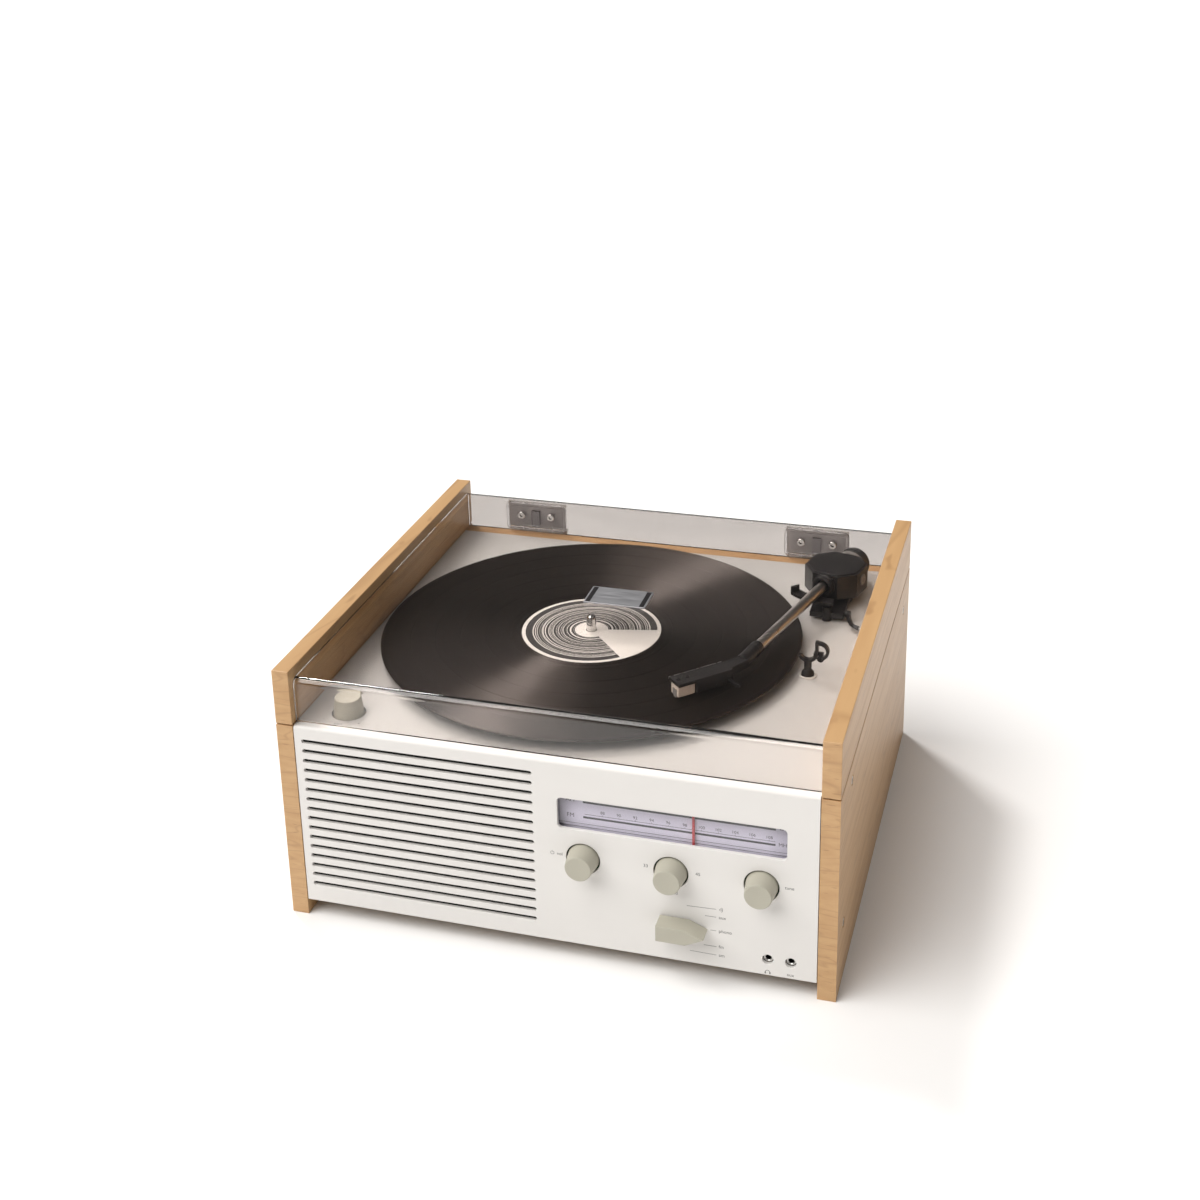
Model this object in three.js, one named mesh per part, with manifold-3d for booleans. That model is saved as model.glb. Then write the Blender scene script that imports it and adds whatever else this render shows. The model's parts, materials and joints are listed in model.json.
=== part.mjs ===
// Radio phonograph console: a tabletop cabinet with a record deck under a hinged clear lid.
// Millimetres. +X to the right seen from the front, +Y to the back, +Z up.
// Origin: middle of the whole object's footprint, on the surface that it stands on.

import * as THREE from 'three';
import { mergeVertices } from 'three/addons/utils/BufferGeometryUtils.js';
import Module from 'manifold-3d';

const wasm = await Module();
wasm.setup();

// ---------------------------------------------------------------- driving dimensions

const cabinetWidth = 376;
const cabinetDepth = 343;
const totalHeight = 186;
const board = 12;            // thickness of the wooden boards
const footGap = 12;          // the side panels stand this far below the cabinet floor
const panelTop = 146;        // top edge of the lower side panels
const lidGap = 0.9;          // between the lower panels and the lid's cheeks
const deckTop = 146.5;
const deckThickness = 3;
const gap = 0.3;             // fitting gap between neighbouring pieces
const past = 1;              // how far a cutter runs out past the piece that it cuts
const recordRadius = 150.5;
const recordTop = 155.5;
const selectorReach = 13.3;  // how far the selector knob stands out, the front-most point

const half = cabinetWidth / 2;
const inner = half - board;          // inner faces of the side boards
const front = -cabinetDepth / 2;
const back = cabinetDepth / 2;
const faceFront = front + 0.3;       // painted face, just behind the wood's front edges
const faceThickness = 2.5;
const faceBack = faceFront + faceThickness;
const ledgeDepth = 6.9;
const fitHalf = inner - gap;         // what fits between the side boards
const rearFront = 154.5;             // inner face of the rear board
const deckBottom = deckTop - deckThickness;

const platterCentre = new THREE.Vector2(-17.4, -10.2);
const motorCentre = new THREE.Vector2(platterCentre.x - 79.2, platterCentre.y + 79.2);
const armPivot = new THREE.Vector2(141, 100.5);
const armHeight = 166.6;              // centre line of the tonearm tube
const armAngle = THREE.MathUtils.degToRad(14.5);     // tube's direction, from -Y towards -X
const headshellAngle = THREE.MathUtils.degToRad(45);
const armRest = new THREE.Vector2(141.5, -23.1);

const knobRow = 77.3;
const knobX = { volume: 23, speed: 81.2, tuning: 139.6 };
const selectorCentre = { x: 84.6, z: 39.5 };
const pitchKnob = new THREE.Vector2(-146.8, -144.4);
const knobHole = 11.4;
const jackHole = 3.6;
const boardFront = -150.4;            // front face of the circuit board
const jackX = { headphone: 144.1, aux: 158.8 };
const jackZ = 23.6;

const dialWindow = { left: 6.5, right: 155.5, bottom: 98.3, top: 120.6, corner: 3 };
const slots = { count: 16, left: -170.5, right: -10, bottom: 25.8, top: 135.5, height: 3 };

const lid = { top: 178.5, bottom: 147.2, front: -166, back: 165.5, sheet: 2.5, bend: 5 };
const hinge = { y: 168.8, z: 149.2, radius: 2.2, pin: 1, width: 50, x: 116, leaf: 1.2, clearance: 0.3 };
const rearOpening = { halfWidth: 50, bottom: 45, top: 85 };

// ---------------------------------------------------------------- materials

function material(color, roughness, metalness = 0, opacity = 1) {
  return new THREE.MeshStandardMaterial({
    color: new THREE.Color(...color), roughness, metalness, opacity, transparent: opacity < 1,
  });
}

const maple = material([0.78, 0.6, 0.38], 0.5);
const whitePaint = material([0.88, 0.86, 0.83], 0.35);
const smokedAcrylic = material([0.55, 0.52, 0.5], 0.05, 0, 0.35);
const clearPlastic = material([0.85, 0.85, 0.85], 0.05, 0, 0.35);
const knobPlastic = material([0.66, 0.67, 0.6], 0.45);
const blackPlastic = material([0.03, 0.03, 0.03], 0.35);
const vinyl = material([0.02, 0.02, 0.02], 0.25);
const aluminium = material([0.75, 0.75, 0.74], 0.3, 1);
const chrome = material([0.8, 0.8, 0.8], 0.08, 1);
const steel = material([0.6, 0.6, 0.6], 0.35, 1);
const paper = material([0.88, 0.87, 0.85], 0.7);
const dialPrint = material([0.84, 0.8, 0.86], 0.5);
const redPlastic = material([0.65, 0.05, 0.05], 0.4);
const creamPlastic = material([0.9, 0.85, 0.78], 0.4);
const fibreboard = material([0.5, 0.4, 0.28], 0.8);
const circuitGreen = material([0.05, 0.25, 0.12], 0.5);
const rubber = material([0.05, 0.05, 0.05], 0.8);

// ---------------------------------------------------------------- geometry helpers

// Positions only, shared vertices merged, no collapsed triangles, faces pointing out.
function closed(geometry) {
  const plain = geometry.clone();
  plain.deleteAttribute('normal');
  plain.deleteAttribute('uv');
  plain.clearGroups();
  const merged = mergeVertices(plain, 1e-4);
  const p = merged.attributes.position;
  const a = new THREE.Vector3();
  const b = new THREE.Vector3();
  const c = new THREE.Vector3();
  const triangles = [];
  let volume = 0;
  for (let i = 0; i < merged.index.count; i += 3) {
    const corner = [0, 1, 2].map((k) => merged.index.getX(i + k));
    if (corner[0] === corner[1] || corner[1] === corner[2] || corner[0] === corner[2]) continue;
    a.fromBufferAttribute(p, corner[0]);
    b.fromBufferAttribute(p, corner[1]);
    c.fromBufferAttribute(p, corner[2]);
    volume += a.dot(b.cross(c));
    triangles.push(corner);
  }
  const facing = volume < 0 ? triangles.map(([i, j, k]) => [i, k, j]) : triangles;
  merged.setIndex(facing.flat());
  return merged;
}

function solid(geometry) {
  const merged = closed(geometry);
  return new wasm.Manifold(new wasm.Mesh({
    numProp: 3,
    vertProperties: new Float32Array(merged.attributes.position.array),
    triVerts: new Uint32Array(merged.index.array),
  }));
}

function fromSolid(manifold) {
  const mesh = manifold.getMesh();
  const geometry = new THREE.BufferGeometry();
  geometry.setAttribute('position', new THREE.BufferAttribute(new Float32Array(mesh.vertProperties), 3));
  geometry.setIndex([...mesh.triVerts]);
  return geometry;
}

function join(first, ...others) {
  return fromSolid(others.reduce((sum, other) => sum.add(solid(other)), solid(first)));
}

function cut(first, ...cutters) {
  return fromSolid(cutters.reduce((rest, cutter) => rest.subtract(solid(cutter)), solid(first)));
}

function block([x0, x1], [y0, y1], [z0, z1]) {
  const box = new THREE.BoxGeometry(x1 - x0, y1 - y0, z1 - z0);
  return box.translate((x0 + x1) / 2, (y0 + y1) / 2, (z0 + z1) / 2);
}

// Outlines are drawn in the two axes that the prism doesn't run along, in X, Y, Z order.
function prismX(shape, x0, x1, curveSegments = 6) {
  const prism = new THREE.ExtrudeGeometry(shape, { depth: x1 - x0, bevelEnabled: false, curveSegments });
  const toYZ = new THREE.Matrix4().makeBasis(
    new THREE.Vector3(0, 1, 0), new THREE.Vector3(0, 0, 1), new THREE.Vector3(1, 0, 0));
  return prism.applyMatrix4(toYZ).translate(x0, 0, 0);
}

function prismY(shape, y0, y1, curveSegments = 6) {
  const prism = new THREE.ExtrudeGeometry(shape, { depth: y1 - y0, bevelEnabled: false, curveSegments });
  return prism.rotateX(Math.PI / 2).translate(0, y1, 0);
}

function prismZ(shape, z0, z1, curveSegments = 6) {
  const prism = new THREE.ExtrudeGeometry(shape, { depth: z1 - z0, bevelEnabled: false, curveSegments });
  return prism.translate(0, 0, z0);
}

function rodX(radius, x0, x1, y, z, sides = 16) {
  const rod = new THREE.CylinderGeometry(radius, radius, x1 - x0, sides).rotateZ(Math.PI / 2);
  return rod.translate((x0 + x1) / 2, y, z);
}

function rodY(radius, y0, y1, x, z, sides = 18) {
  return new THREE.CylinderGeometry(radius, radius, y1 - y0, sides).translate(x, (y0 + y1) / 2, z);
}

function rodZ(radius, z0, z1, x, y, sides = 18) {
  const rod = new THREE.CylinderGeometry(radius, radius, z1 - z0, sides).rotateX(Math.PI / 2);
  return rod.translate(x, y, (z0 + z1) / 2);
}

// profile: [radius, height] pairs, from the axis back to the axis, or closed on itself.
function turned(profile, segments) {
  const points = profile.map(([r, h]) => new THREE.Vector2(r, h));
  return new THREE.LatheGeometry(points, segments).rotateX(Math.PI / 2);
}

// A turned piece whose height runs towards the viewer (-Y) from a plane at y.
function turnedForward(profile, segments, x, y, z) {
  return turned(profile, segments).rotateX(Math.PI / 2).translate(x, y, z);
}

// A turned piece whose height runs backwards (+Y) from a plane at y.
function turnedBackward(profile, segments, x, y, z) {
  return turned(profile, segments).rotateX(-Math.PI / 2).translate(x, y, z);
}

function outline(points) {
  return new THREE.Shape(points.map(([u, v]) => new THREE.Vector2(u, v)));
}

function roundedRectangle(u0, u1, v0, v1, r) {
  const shape = new THREE.Shape();
  shape.moveTo(u0 + r, v0);
  shape.lineTo(u1 - r, v0);
  shape.absarc(u1 - r, v0 + r, r, -Math.PI / 2, 0);
  shape.lineTo(u1, v1 - r);
  shape.absarc(u1 - r, v1 - r, r, 0, Math.PI / 2);
  shape.lineTo(u0 + r, v1);
  shape.absarc(u0 + r, v1 - r, r, Math.PI / 2, Math.PI);
  shape.lineTo(u0, v0 + r);
  shape.absarc(u0 + r, v0 + r, r, Math.PI, 1.5 * Math.PI);
  return shape;
}

function sweptRod(radius, points, steps, sides = 8) {
  const section = new THREE.Shape();
  section.absarc(0, 0, radius, 0, 2 * Math.PI);
  const path = new THREE.CatmullRomCurve3(points.map((p) => new THREE.Vector3(...p)));
  return new THREE.ExtrudeGeometry(section, { steps, extrudePath: path, curveSegments: sides });
}

const object = new THREE.Group();

function add(name, geometry, look) {
  const piece = new THREE.Mesh(closed(geometry), look);
  piece.name = name;
  object.add(piece);
}

// Places a geometry made along +X at a point in plan so that it runs along an arm direction.
function along(geometry, origin, angle) {
  return geometry.rotateZ(-Math.PI / 2 - angle).translate(origin.x, origin.y, 0);
}

function armPoint(distance) {
  return new THREE.Vector2(
    armPivot.x - Math.sin(armAngle) * distance,
    armPivot.y - Math.cos(armAngle) * distance,
  );
}

// ---------------------------------------------------------------- cabinet boards

const screwSpots = [
  { name: 'front_top', y: -124, z: 132.7 },
  { name: 'front_low', y: -146.5, z: 42.5 },
  { name: 'back_top', y: 137, z: 126 },
];
const screw = { head: 3.4, headDepth: 1.4, shank: 2, length: 11.2, rim: 0.3, crown: 2.8 };

function sidePanel(side) {
  const panel = block(side > 0 ? [inner, half] : [-half, -inner], [front, back], [0, panelTop]);
  const outside = side * (half + past);
  const seat = side * (half - screw.headDepth - gap);
  const inside = side * (inner - past);
  const holes = screwSpots.flatMap(({ y, z }) => [
    rodX(screw.head + gap, Math.min(outside, seat), Math.max(outside, seat), y, z, 12),
    rodX(screw.shank + gap, Math.min(outside, inside), Math.max(outside, inside), y, z, 8),
  ]);
  return cut(panel, ...holes);
}

function sideScrew(side, { y, z }) {
  const profile = [
    [0, 0], [screw.shank, 0], [screw.shank, screw.length - screw.headDepth],
    [screw.head, screw.length - screw.headDepth], [screw.head, screw.length - screw.rim],
    [screw.crown, screw.length], [0, screw.length],
  ];
  const sunk = 0.1;
  const tip = side * (half - sunk - screw.length);
  return turned(profile, 10).rotateY(side * Math.PI / 2).translate(tip, y, z);
}

function buildBoards() {
  for (const [name, side] of [['left', -1], ['right', 1]]) {
    add(`side_panel_${name}`, sidePanel(side), maple);
    for (const spot of screwSpots) {
      add(`side_screw_${name}_${spot.name}`, sideScrew(side, spot), steel);
    }
  }
  const floorThickness = 7;
  const rearTop = panelTop + 0.2;
  const { halfWidth, bottom, top } = rearOpening;
  add('bottom_board', block(
    [-fitHalf, fitHalf],
    [faceBack + gap, rearFront - gap],
    [footGap, footGap + floorThickness],
  ), fibreboard);
  const rear = block([-fitHalf, fitHalf], [rearFront, rearFront + board], [footGap, rearTop]);
  const through = [rearFront - past, rearFront + board + past];
  add('rear_panel', cut(rear, block([-halfWidth, halfWidth], through, [bottom, top])), maple);
}

// ---------------------------------------------------------------- painted front and deck

// The ends are almost half circles, with a hair of straight edge left between the two corners.
function slotShape(z) {
  const r = slots.height / 2;
  const hair = 0.01;
  return roundedRectangle(slots.left, slots.right, z - r, z + r, r - hair);
}

function fascia() {
  const bend = 2.5;
  const sideGap = 0.5;
  const selectorHole = 4;
  const profile = new THREE.Shape();
  profile.moveTo(faceFront, footGap);
  profile.lineTo(faceBack, footGap);
  profile.lineTo(faceBack, deckBottom);
  profile.lineTo(faceFront + ledgeDepth, deckBottom);
  profile.lineTo(faceFront + ledgeDepth, deckTop);
  profile.lineTo(faceFront + bend, deckTop);
  profile.absarc(faceFront + bend, deckTop - bend, bend, Math.PI / 2, Math.PI);
  const through = [faceFront - past, faceBack + past];
  const pitch = (slots.top - slots.bottom) / (slots.count - 1);
  const cutters = [];
  for (let i = 0; i < slots.count; i += 1) {
    cutters.push(prismY(slotShape(slots.bottom + i * pitch), ...through, 2));
  }
  const { left, right, bottom, top, corner } = dialWindow;
  cutters.push(prismY(roundedRectangle(left, right, bottom, top, corner), ...through, 4));
  for (const x of Object.values(knobX)) {
    cutters.push(rodY(knobHole, ...through, x, knobRow, 28));
  }
  cutters.push(rodY(selectorHole, ...through, selectorCentre.x, selectorCentre.z, 20));
  for (const x of Object.values(jackX)) {
    cutters.push(rodY(jackHole, ...through, x, jackZ, 20));
  }
  return cut(prismX(profile, -inner + sideGap, inner - sideGap), ...cutters);
}

const deckHoles = { bearing: 8.3, pulley: 7, arm: 7.4, rest: 2.8 };

function buildShell() {
  add('front_fascia', fascia(), whitePaint);
  const deckY = [faceFront + ledgeDepth + gap, rearFront - gap];
  const deck = block([-fitHalf, fitHalf], deckY, [deckBottom, deckTop]);
  const through = [deckBottom - past, deckTop + past];
  add('deck_plate', cut(
    deck,
    rodZ(deckHoles.bearing, ...through, platterCentre.x, platterCentre.y),
    rodZ(deckHoles.pulley, ...through, motorCentre.x, motorCentre.y),
    rodZ(knobHole, ...through, pitchKnob.x, pitchKnob.y, 28),
    rodZ(deckHoles.arm, ...through, armPivot.x, armPivot.y),
    rodZ(deckHoles.rest, ...through, armRest.x, armRest.y, 16),
  ), whitePaint);
}

// ---------------------------------------------------------------- radio dial

const pointerX = 95;
const rail = { y: -165.5, z: 90, radius: 1, clearance: 0.4 };
const carriage = { halfWidth: 4, halfDepth: 2.3, below: 2.5, above: 3 };
const lens = { bottom: 94.5, thickness: 1.2 };
const plateFront = -164.4;
const dialMargin = 3.5;      // lens and card reach this far past the window's ends

function pointer() {
  const body = block(
    [pointerX - carriage.halfWidth, pointerX + carriage.halfWidth],
    [rail.y - carriage.halfDepth, rail.y + carriage.halfDepth],
    [rail.z - carriage.below, rail.z + carriage.above],
  );
  const bladeHalf = 0.8;
  const bladeY = [-166.5, -165.3];
  const bladeZ = [rail.z + 2, dialWindow.top + 1];
  const blade = block([pointerX - bladeHalf, pointerX + bladeHalf], bladeY, bladeZ);
  const boreX = [pointerX - carriage.halfWidth - past, pointerX + carriage.halfWidth + past];
  const bore = rodX(rail.radius + rail.clearance, ...boreX, rail.y, rail.z, 12);
  return cut(join(body, blade), bore);
}

function buildDial() {
  const { left, right, bottom, top } = dialWindow;
  const wide = [left - dialMargin, right + dialMargin];
  const lensFront = faceBack + gap;
  const lensY = [lensFront, lensFront + lens.thickness];
  add('dial_lens', block(wide, lensY, [lens.bottom, top + dialMargin]), clearPlastic);
  add('dial_plate', block(wide, [plateFront, plateFront + 1], [bottom - 4, top + 4.5]), dialPrint);
  add('pointer_rail', rodX(rail.radius, left - 3, right + 3, rail.y, rail.z, 12), steel);
  add('dial_pointer', pointer(), redPlastic);
}

// ---------------------------------------------------------------- knobs and what they turn

const knobSize = { base: 10.5, face: 8.9, height: 14.2, sunk: 2.2 };
const shaftEnd = 9.2;        // the knob's shaft reaches this far behind its own back face
const shaftRadius = 3;
const switchDepth = 9;

// A tapered knob with a rounded rim, its shaft below height 0.
function knobProfile({ base, face, height }) {
  return [
    [0, -shaftEnd], [shaftRadius, -shaftEnd], [shaftRadius, 0], [base, 0], [face + 0.25, height - 0.9],
    [face - 0.5, height - 0.1], [face - 1, height], [0, height],
  ];
}

function selectorKnob() {
  const { x, z } = selectorCentre;
  const halfHeight = 5.6;
  const shoulder = 8.5;
  const tail = -10.7;
  const tip = [20.8, 0.3];
  const shape = outline([
    [tail, -halfHeight], [shoulder, -halfHeight], tip, [shoulder, halfHeight], [tail, halfHeight],
  ]);
  const faceClearance = 0.6;
  const body = prismY(shape, faceFront - selectorReach, faceFront - faceClearance).translate(x, 0, z);
  return join(body, rodY(shaftRadius, faceFront - past, boardFront - switchDepth - gap, x, z, 16));
}

// A round socket for a 3.5 mm plug: a wide body on the board, a neck through the front, and its bore.
function jack(x) {
  const profile = [
    [0, 0], [4.3, 0], [4.3, 13], [3.3, 13], [3.3, 17.6], [3.1, 18.2],
    [2, 18.2], [1.8, 17.8], [1.8, 3], [0, 3],
  ];
  const boardClearance = 0.25;
  return turnedForward(profile, 16, x, boardFront - boardClearance, jackZ);
}

function buildControls() {
  const knob = knobProfile(knobSize);
  const knobBack = faceFront + knobSize.sunk;
  for (const [name, x] of Object.entries(knobX)) {
    add(`${name}_knob`, turnedForward(knob, 28, x, knobBack, knobRow), knobPlastic);
  }
  const pitchZ = deckTop - knobSize.sunk;
  add('pitch_knob', turned(knob, 28).translate(pitchKnob.x, pitchKnob.y, pitchZ), knobPlastic);
  add('selector_knob', selectorKnob(), knobPlastic);

  const bodyY = [knobBack + shaftEnd + gap, boardFront - gap];
  const switchY = [boardFront - switchDepth, boardFront - gap];
  const capacitorHalf = 10;
  const capacitor = block(
    [knobX.tuning - capacitorHalf, knobX.tuning + capacitorHalf],
    bodyY,
    [knobRow - capacitorHalf, knobRow + capacitorHalf],
  );
  add('volume_control', rodY(8, ...bodyY, knobX.volume, knobRow), steel);
  add('speed_switch', rodY(8, ...bodyY, knobX.speed, knobRow), steel);
  add('tuning_capacitor', capacitor, clearPlastic);
  add('band_switch', rodY(12, ...switchY, selectorCentre.x, selectorCentre.z), blackPlastic);
  add('headphone_jack', jack(jackX.headphone), blackPlastic);
  add('aux_jack', jack(jackX.aux), blackPlastic);
  add('main_board', block([6, 166], [boardFront, boardFront + 1.6], [21, 90]), circuitGreen);
}

// ---------------------------------------------------------------- loudspeaker, seen through the slots

function buildSpeaker() {
  const x = (slots.left + slots.right) / 2;
  const z = (slots.bottom + slots.top) / 2;
  const frame = [
    [44, 0], [51, 0], [51, 2], [47, 2], [28, 22], [28, 38], [0, 38], [0, 24], [22, 24], [44, 2.5],
  ];
  const closedFrame = [...frame.slice(7), ...frame.slice(0, 7)];
  add('speaker_frame', turnedBackward(closedFrame, 28, x, faceBack + gap, z), steel);
  const cone = [
    [0, 16.5], [8, 14], [11, 17], [40, 1.6], [43, 0.8], [43, 1.8], [40, 3], [12, 19.5], [0, 19.5],
  ];
  add('speaker_cone', turnedBackward(cone, 28, x, faceBack + gap, z), blackPlastic);
}

// ---------------------------------------------------------------- record drive

const spindleBore = 3.95;    // the spindle's hole through the bearing, platter, record and label
const bearingFoot = 117;
const beltRim = 90;          // radius of the platter's inner rim, which the belt runs round
const platterUnderside = 149.5;   // inside that rim; outside it the plate clears the pulley
const pulleyRim = 5.2;
const beltGap = 0.4;         // between the belt and what it runs round
const beltThickness = 0.8;

function buildDrive() {
  const { x, y } = platterCentre;
  const bearing = [
    [spindleBore, bearingFoot], [6, bearingFoot], [6, 141.5], [12, 141.5], [12, 143.2], [8, 143.2],
    [8, 146], [spindleBore, 146],
  ];
  add('platter_bearing', turned([...bearing, bearing[0]], 16).translate(x, y, 0), steel);
  const plate = [
    [spindleBore, 147.4], [12, 147.4], [12, platterUnderside], [86.5, platterUnderside],
    [86.5, 147.4], [beltRim, 147.4], [beltRim, 151.2], [120, 151.2], [120, 148.6], [122, 148.6],
    [122, 153.2], [spindleBore, 153.2],
  ];
  add('platter', turned([...plate, plate[0]], 40).translate(x, y, 0), aluminium);
  const disc = [
    [spindleBore, 153.5], [149, 153.5], [recordRadius, 154.1], [recordRadius, 154.9], [149, recordTop],
    [146.5, 155.2], [54, 155.2], [52, recordTop], [50.4, recordTop], [50.4, 155.1], [spindleBore, 155.1],
  ];
  add('record', turned([...disc, disc[0]], 60).translate(x, y, 0), vinyl);
  const label = [[spindleBore, 155.4], [50, 155.4], [50, 155.6], [spindleBore, 155.6]];
  add('record_label', turned([...label, label[0]], 36).translate(x, y, 0), paper);
  const spindle = [
    [0, 118], [3.6, 118], [3.6, 165], [3.2, 166.6], [2, 167.5], [0, 167.8],
  ];
  add('spindle', turned(spindle, 16).translate(x, y, 0), chrome);
  const pulley = [
    [0, deckBottom + gap], [1.2, deckBottom + gap], [1.2, 147.1], [5.6, 147.1], [5.6, 147.6],
    [pulleyRim, 147.8], [pulleyRim, 150.2], [5.6, 150.4], [5.6, 150.8], [0, 150.8],
  ];
  add('motor_pulley', turned(pulley, 16).translate(motorCentre.x, motorCentre.y, 0), aluminium);
  add('motor', rodZ(16, bearingFoot, deckBottom - gap, motorCentre.x, motorCentre.y), steel);
  add('drive_belt', belt(), rubber);
}

// The flat belt's loop: two arcs round the platter's inner rim and the pulley, and two straight runs.
function beltLoop(offset) {
  const rimRadius = beltRim + beltGap + offset;
  const pulleyRadius = pulleyRim + beltGap + offset;
  const span = motorCentre.distanceTo(platterCentre);
  const lean = Math.acos((rimRadius - pulleyRadius) / span);
  const rimSteps = 30;
  const pulleySteps = 6;
  const points = [];
  for (let i = 0; i <= rimSteps; i += 1) {
    const angle = lean + (i / rimSteps) * (2 * Math.PI - 2 * lean);
    points.push([rimRadius * Math.cos(angle), rimRadius * Math.sin(angle)]);
  }
  for (let i = 0; i <= pulleySteps; i += 1) {
    const angle = -lean + (i / pulleySteps) * 2 * lean;
    points.push([span + pulleyRadius * Math.cos(angle), pulleyRadius * Math.sin(angle)]);
  }
  return points;
}

function belt() {
  const shape = outline(beltLoop(beltThickness));
  shape.holes.push(new THREE.Path(beltLoop(0).map(([u, v]) => new THREE.Vector2(u, v))));
  const direction = Math.atan2(motorCentre.y - platterCentre.y, motorCentre.x - platterCentre.x);
  return prismZ(shape, 148, 150).rotateZ(direction).translate(platterCentre.x, platterCentre.y, 0);
}

// ---------------------------------------------------------------- tonearm

const liftRod = new THREE.Vector2(armPivot.x - 0.5, armPivot.y - 37.5);
const liftRodRadius = 1.2;
const leverHub = { x: 153.6, y: 66, z: 151.5, radius: 2.6, length: 4, pin: 1.2 };
const bushing = 0.4;         // clearance round the lift rod and the lever's pin

function tonearmBase() {
  const { x, y } = armPivot;
  const bracketX = [128, 153];
  const bracket = block(bracketX, [61, 92], [149, 153.5]);
  const foot = rodZ(13, deckTop + gap, 155.5, x, y, 32);
  const stem = rodZ(7, 128, deckTop + 1, x, y);
  const guide = rodZ(3.6, deckTop + gap, 157.5, liftRod.x, liftRod.y, 20);
  const whole = join(foot, stem, bracket, guide);
  const rodBore = rodZ(liftRodRadius + bushing, 149, 158, liftRod.x, liftRod.y, 16);
  const pinBore = rodX(leverHub.pin + bushing, 146, bracketX[1] + past, leverHub.y, leverHub.z, 12);
  return cut(whole, rodBore, pinBore);
}

// An eight-sided hood that carries the arm in a slot from side to side, with a boss in front.
function armHousing() {
  const reach = 21;
  const chamfer = 11;
  const bossEnd = reach + 4;
  const shape = outline([
    [-reach, -reach + chamfer], [-reach + chamfer, -reach], [reach - chamfer, -reach],
    [reach, -reach + chamfer], [reach, reach - chamfer], [reach - chamfer, reach],
    [-reach + chamfer, reach], [-reach, reach - chamfer],
  ]);
  const body = prismZ(shape, 156.2, 174.2);
  const boss = rodX(7.2, reach - 1, bossEnd, 0, armHeight, 24);
  const channel = block([-reach - past, reach + past], [-6.2, 6.2], [161.5, 172.6]);
  const bossBore = rodX(5.4, reach - 2, bossEnd + past, 0, armHeight, 20);
  const axleBore = rodY(axle.radius + axle.clearance, -16, 16, 0, armHeight, 16);
  const housing = cut(join(body, boss), channel, bossBore, axleBore);
  return along(housing, armPivot, armAngle);
}

const axle = { radius: 1.5, half: 14, clearance: 0.4 };
const tube = { radius: 3.9, back: -37, front: 134 };

function armTube() {
  const pipe = rodX(tube.radius, tube.back, tube.front, 0, armHeight, 24);
  const pivotAxle = rodY(axle.radius, -axle.half, axle.half, 0, armHeight, 16);
  return along(join(pipe, pivotAxle), armPivot, armAngle);
}

// A round weight whose bore sits above its middle, so that its centre of mass hangs low.
function counterweight() {
  const drop = 5;
  const [near, far] = [24, 38];
  const boreRadius = 4.25;
  const weight = rodX(12, near, far, 0, armHeight - drop, 36);
  const bore = rodX(boreRadius, near - past, far + past, 0, armHeight, 24);
  return along(cut(weight, bore).rotateZ(Math.PI), armPivot, armAngle);
}

const headRear = new THREE.Vector2(94.3, -64);
const head = { length: 42, half: 6.6, bottom: 159.5, top: 169.2, roof: 166.8, wall: 1.6, mouth: 28 };

function headshell() {
  const neckFrom = armPoint(150);
  const neckTo = armPoint(157);
  const collar = along(rodX(4.7, tube.front + 0.4, 157, 0, armHeight, 24), armPivot, armAngle);
  const dir = new THREE.Vector2(-Math.sin(headshellAngle), -Math.cos(headshellAngle));
  const side = new THREE.Vector2(-dir.y, dir.x);
  const corner = (a, b) => [headRear.x + dir.x * a + side.x * b, headRear.y + dir.y * a + side.y * b];
  const neckSide = new THREE.Vector2(Math.cos(armAngle), -Math.sin(armAngle)).multiplyScalar(4.4);
  const neck = prismZ(outline([
    [neckFrom.x + neckSide.x, neckFrom.y + neckSide.y],
    [neckTo.x + neckSide.x, neckTo.y + neckSide.y],
    corner(2, 5),
    corner(2, -5),
    [neckTo.x - neckSide.x, neckTo.y - neckSide.y],
    [neckFrom.x - neckSide.x, neckFrom.y - neckSide.y],
  ]), 163, head.top);
  const hollowZ = [head.bottom - 1.5, head.roof];
  const shell = along(cut(
    block([0, head.length], [-head.half, head.half], [head.bottom, head.top]),
    block([2.5, head.length + past], [head.wall - head.half, head.half - head.wall], hollowZ),
    block([head.mouth, head.length + past], [-head.half - 0.4, head.half + 0.4], hollowZ),
  ), headRear, headshellAngle);
  const fingerLift = along(block([2, 4.5], [5, 19], [162, 163.4]), headRear, headshellAngle);
  return join(collar, neck, shell, fingerLift);
}

function cartridge() {
  const body = block([28.6, 41.4], [-4.6, 4.6], [157.5, 166.4]);
  const stylus = new THREE.CylinderGeometry(1.2, 0.4, 2.2, 10).rotateX(Math.PI / 2);
  return along(join(body, stylus.translate(35, 0, 156.8)), headRear, headshellAngle);
}

// A flat plate between two radii round the arm's pivot, from angle a0 to a1 in degrees.
function arcPlate(r0, r1, a0, a1, z0, z1, segments) {
  const point = (r, a) => {
    const angle = THREE.MathUtils.degToRad(a);
    return [armPivot.x - Math.sin(angle) * r, armPivot.y - Math.cos(angle) * r];
  };
  const points = [];
  for (let i = 0; i <= segments; i += 1) points.push(point(r1, a1 + ((a0 - a1) * i) / segments));
  for (let i = 0; i <= segments; i += 1) points.push(point(r0, a0 + ((a1 - a0) * i) / segments));
  return prismZ(outline(points), z0, z1);
}

function liftPlatform() {
  const plate = arcPlate(32.5, 41, -6, 45, 159.8, 161.8, 14);
  const fin = arcPlate(34, 41, 43, 45, 161, 166.5, 2);
  const rod = rodZ(liftRodRadius, 150, 161, liftRod.x, liftRod.y, 12);
  return join(plate, fin, rod);
}

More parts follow.
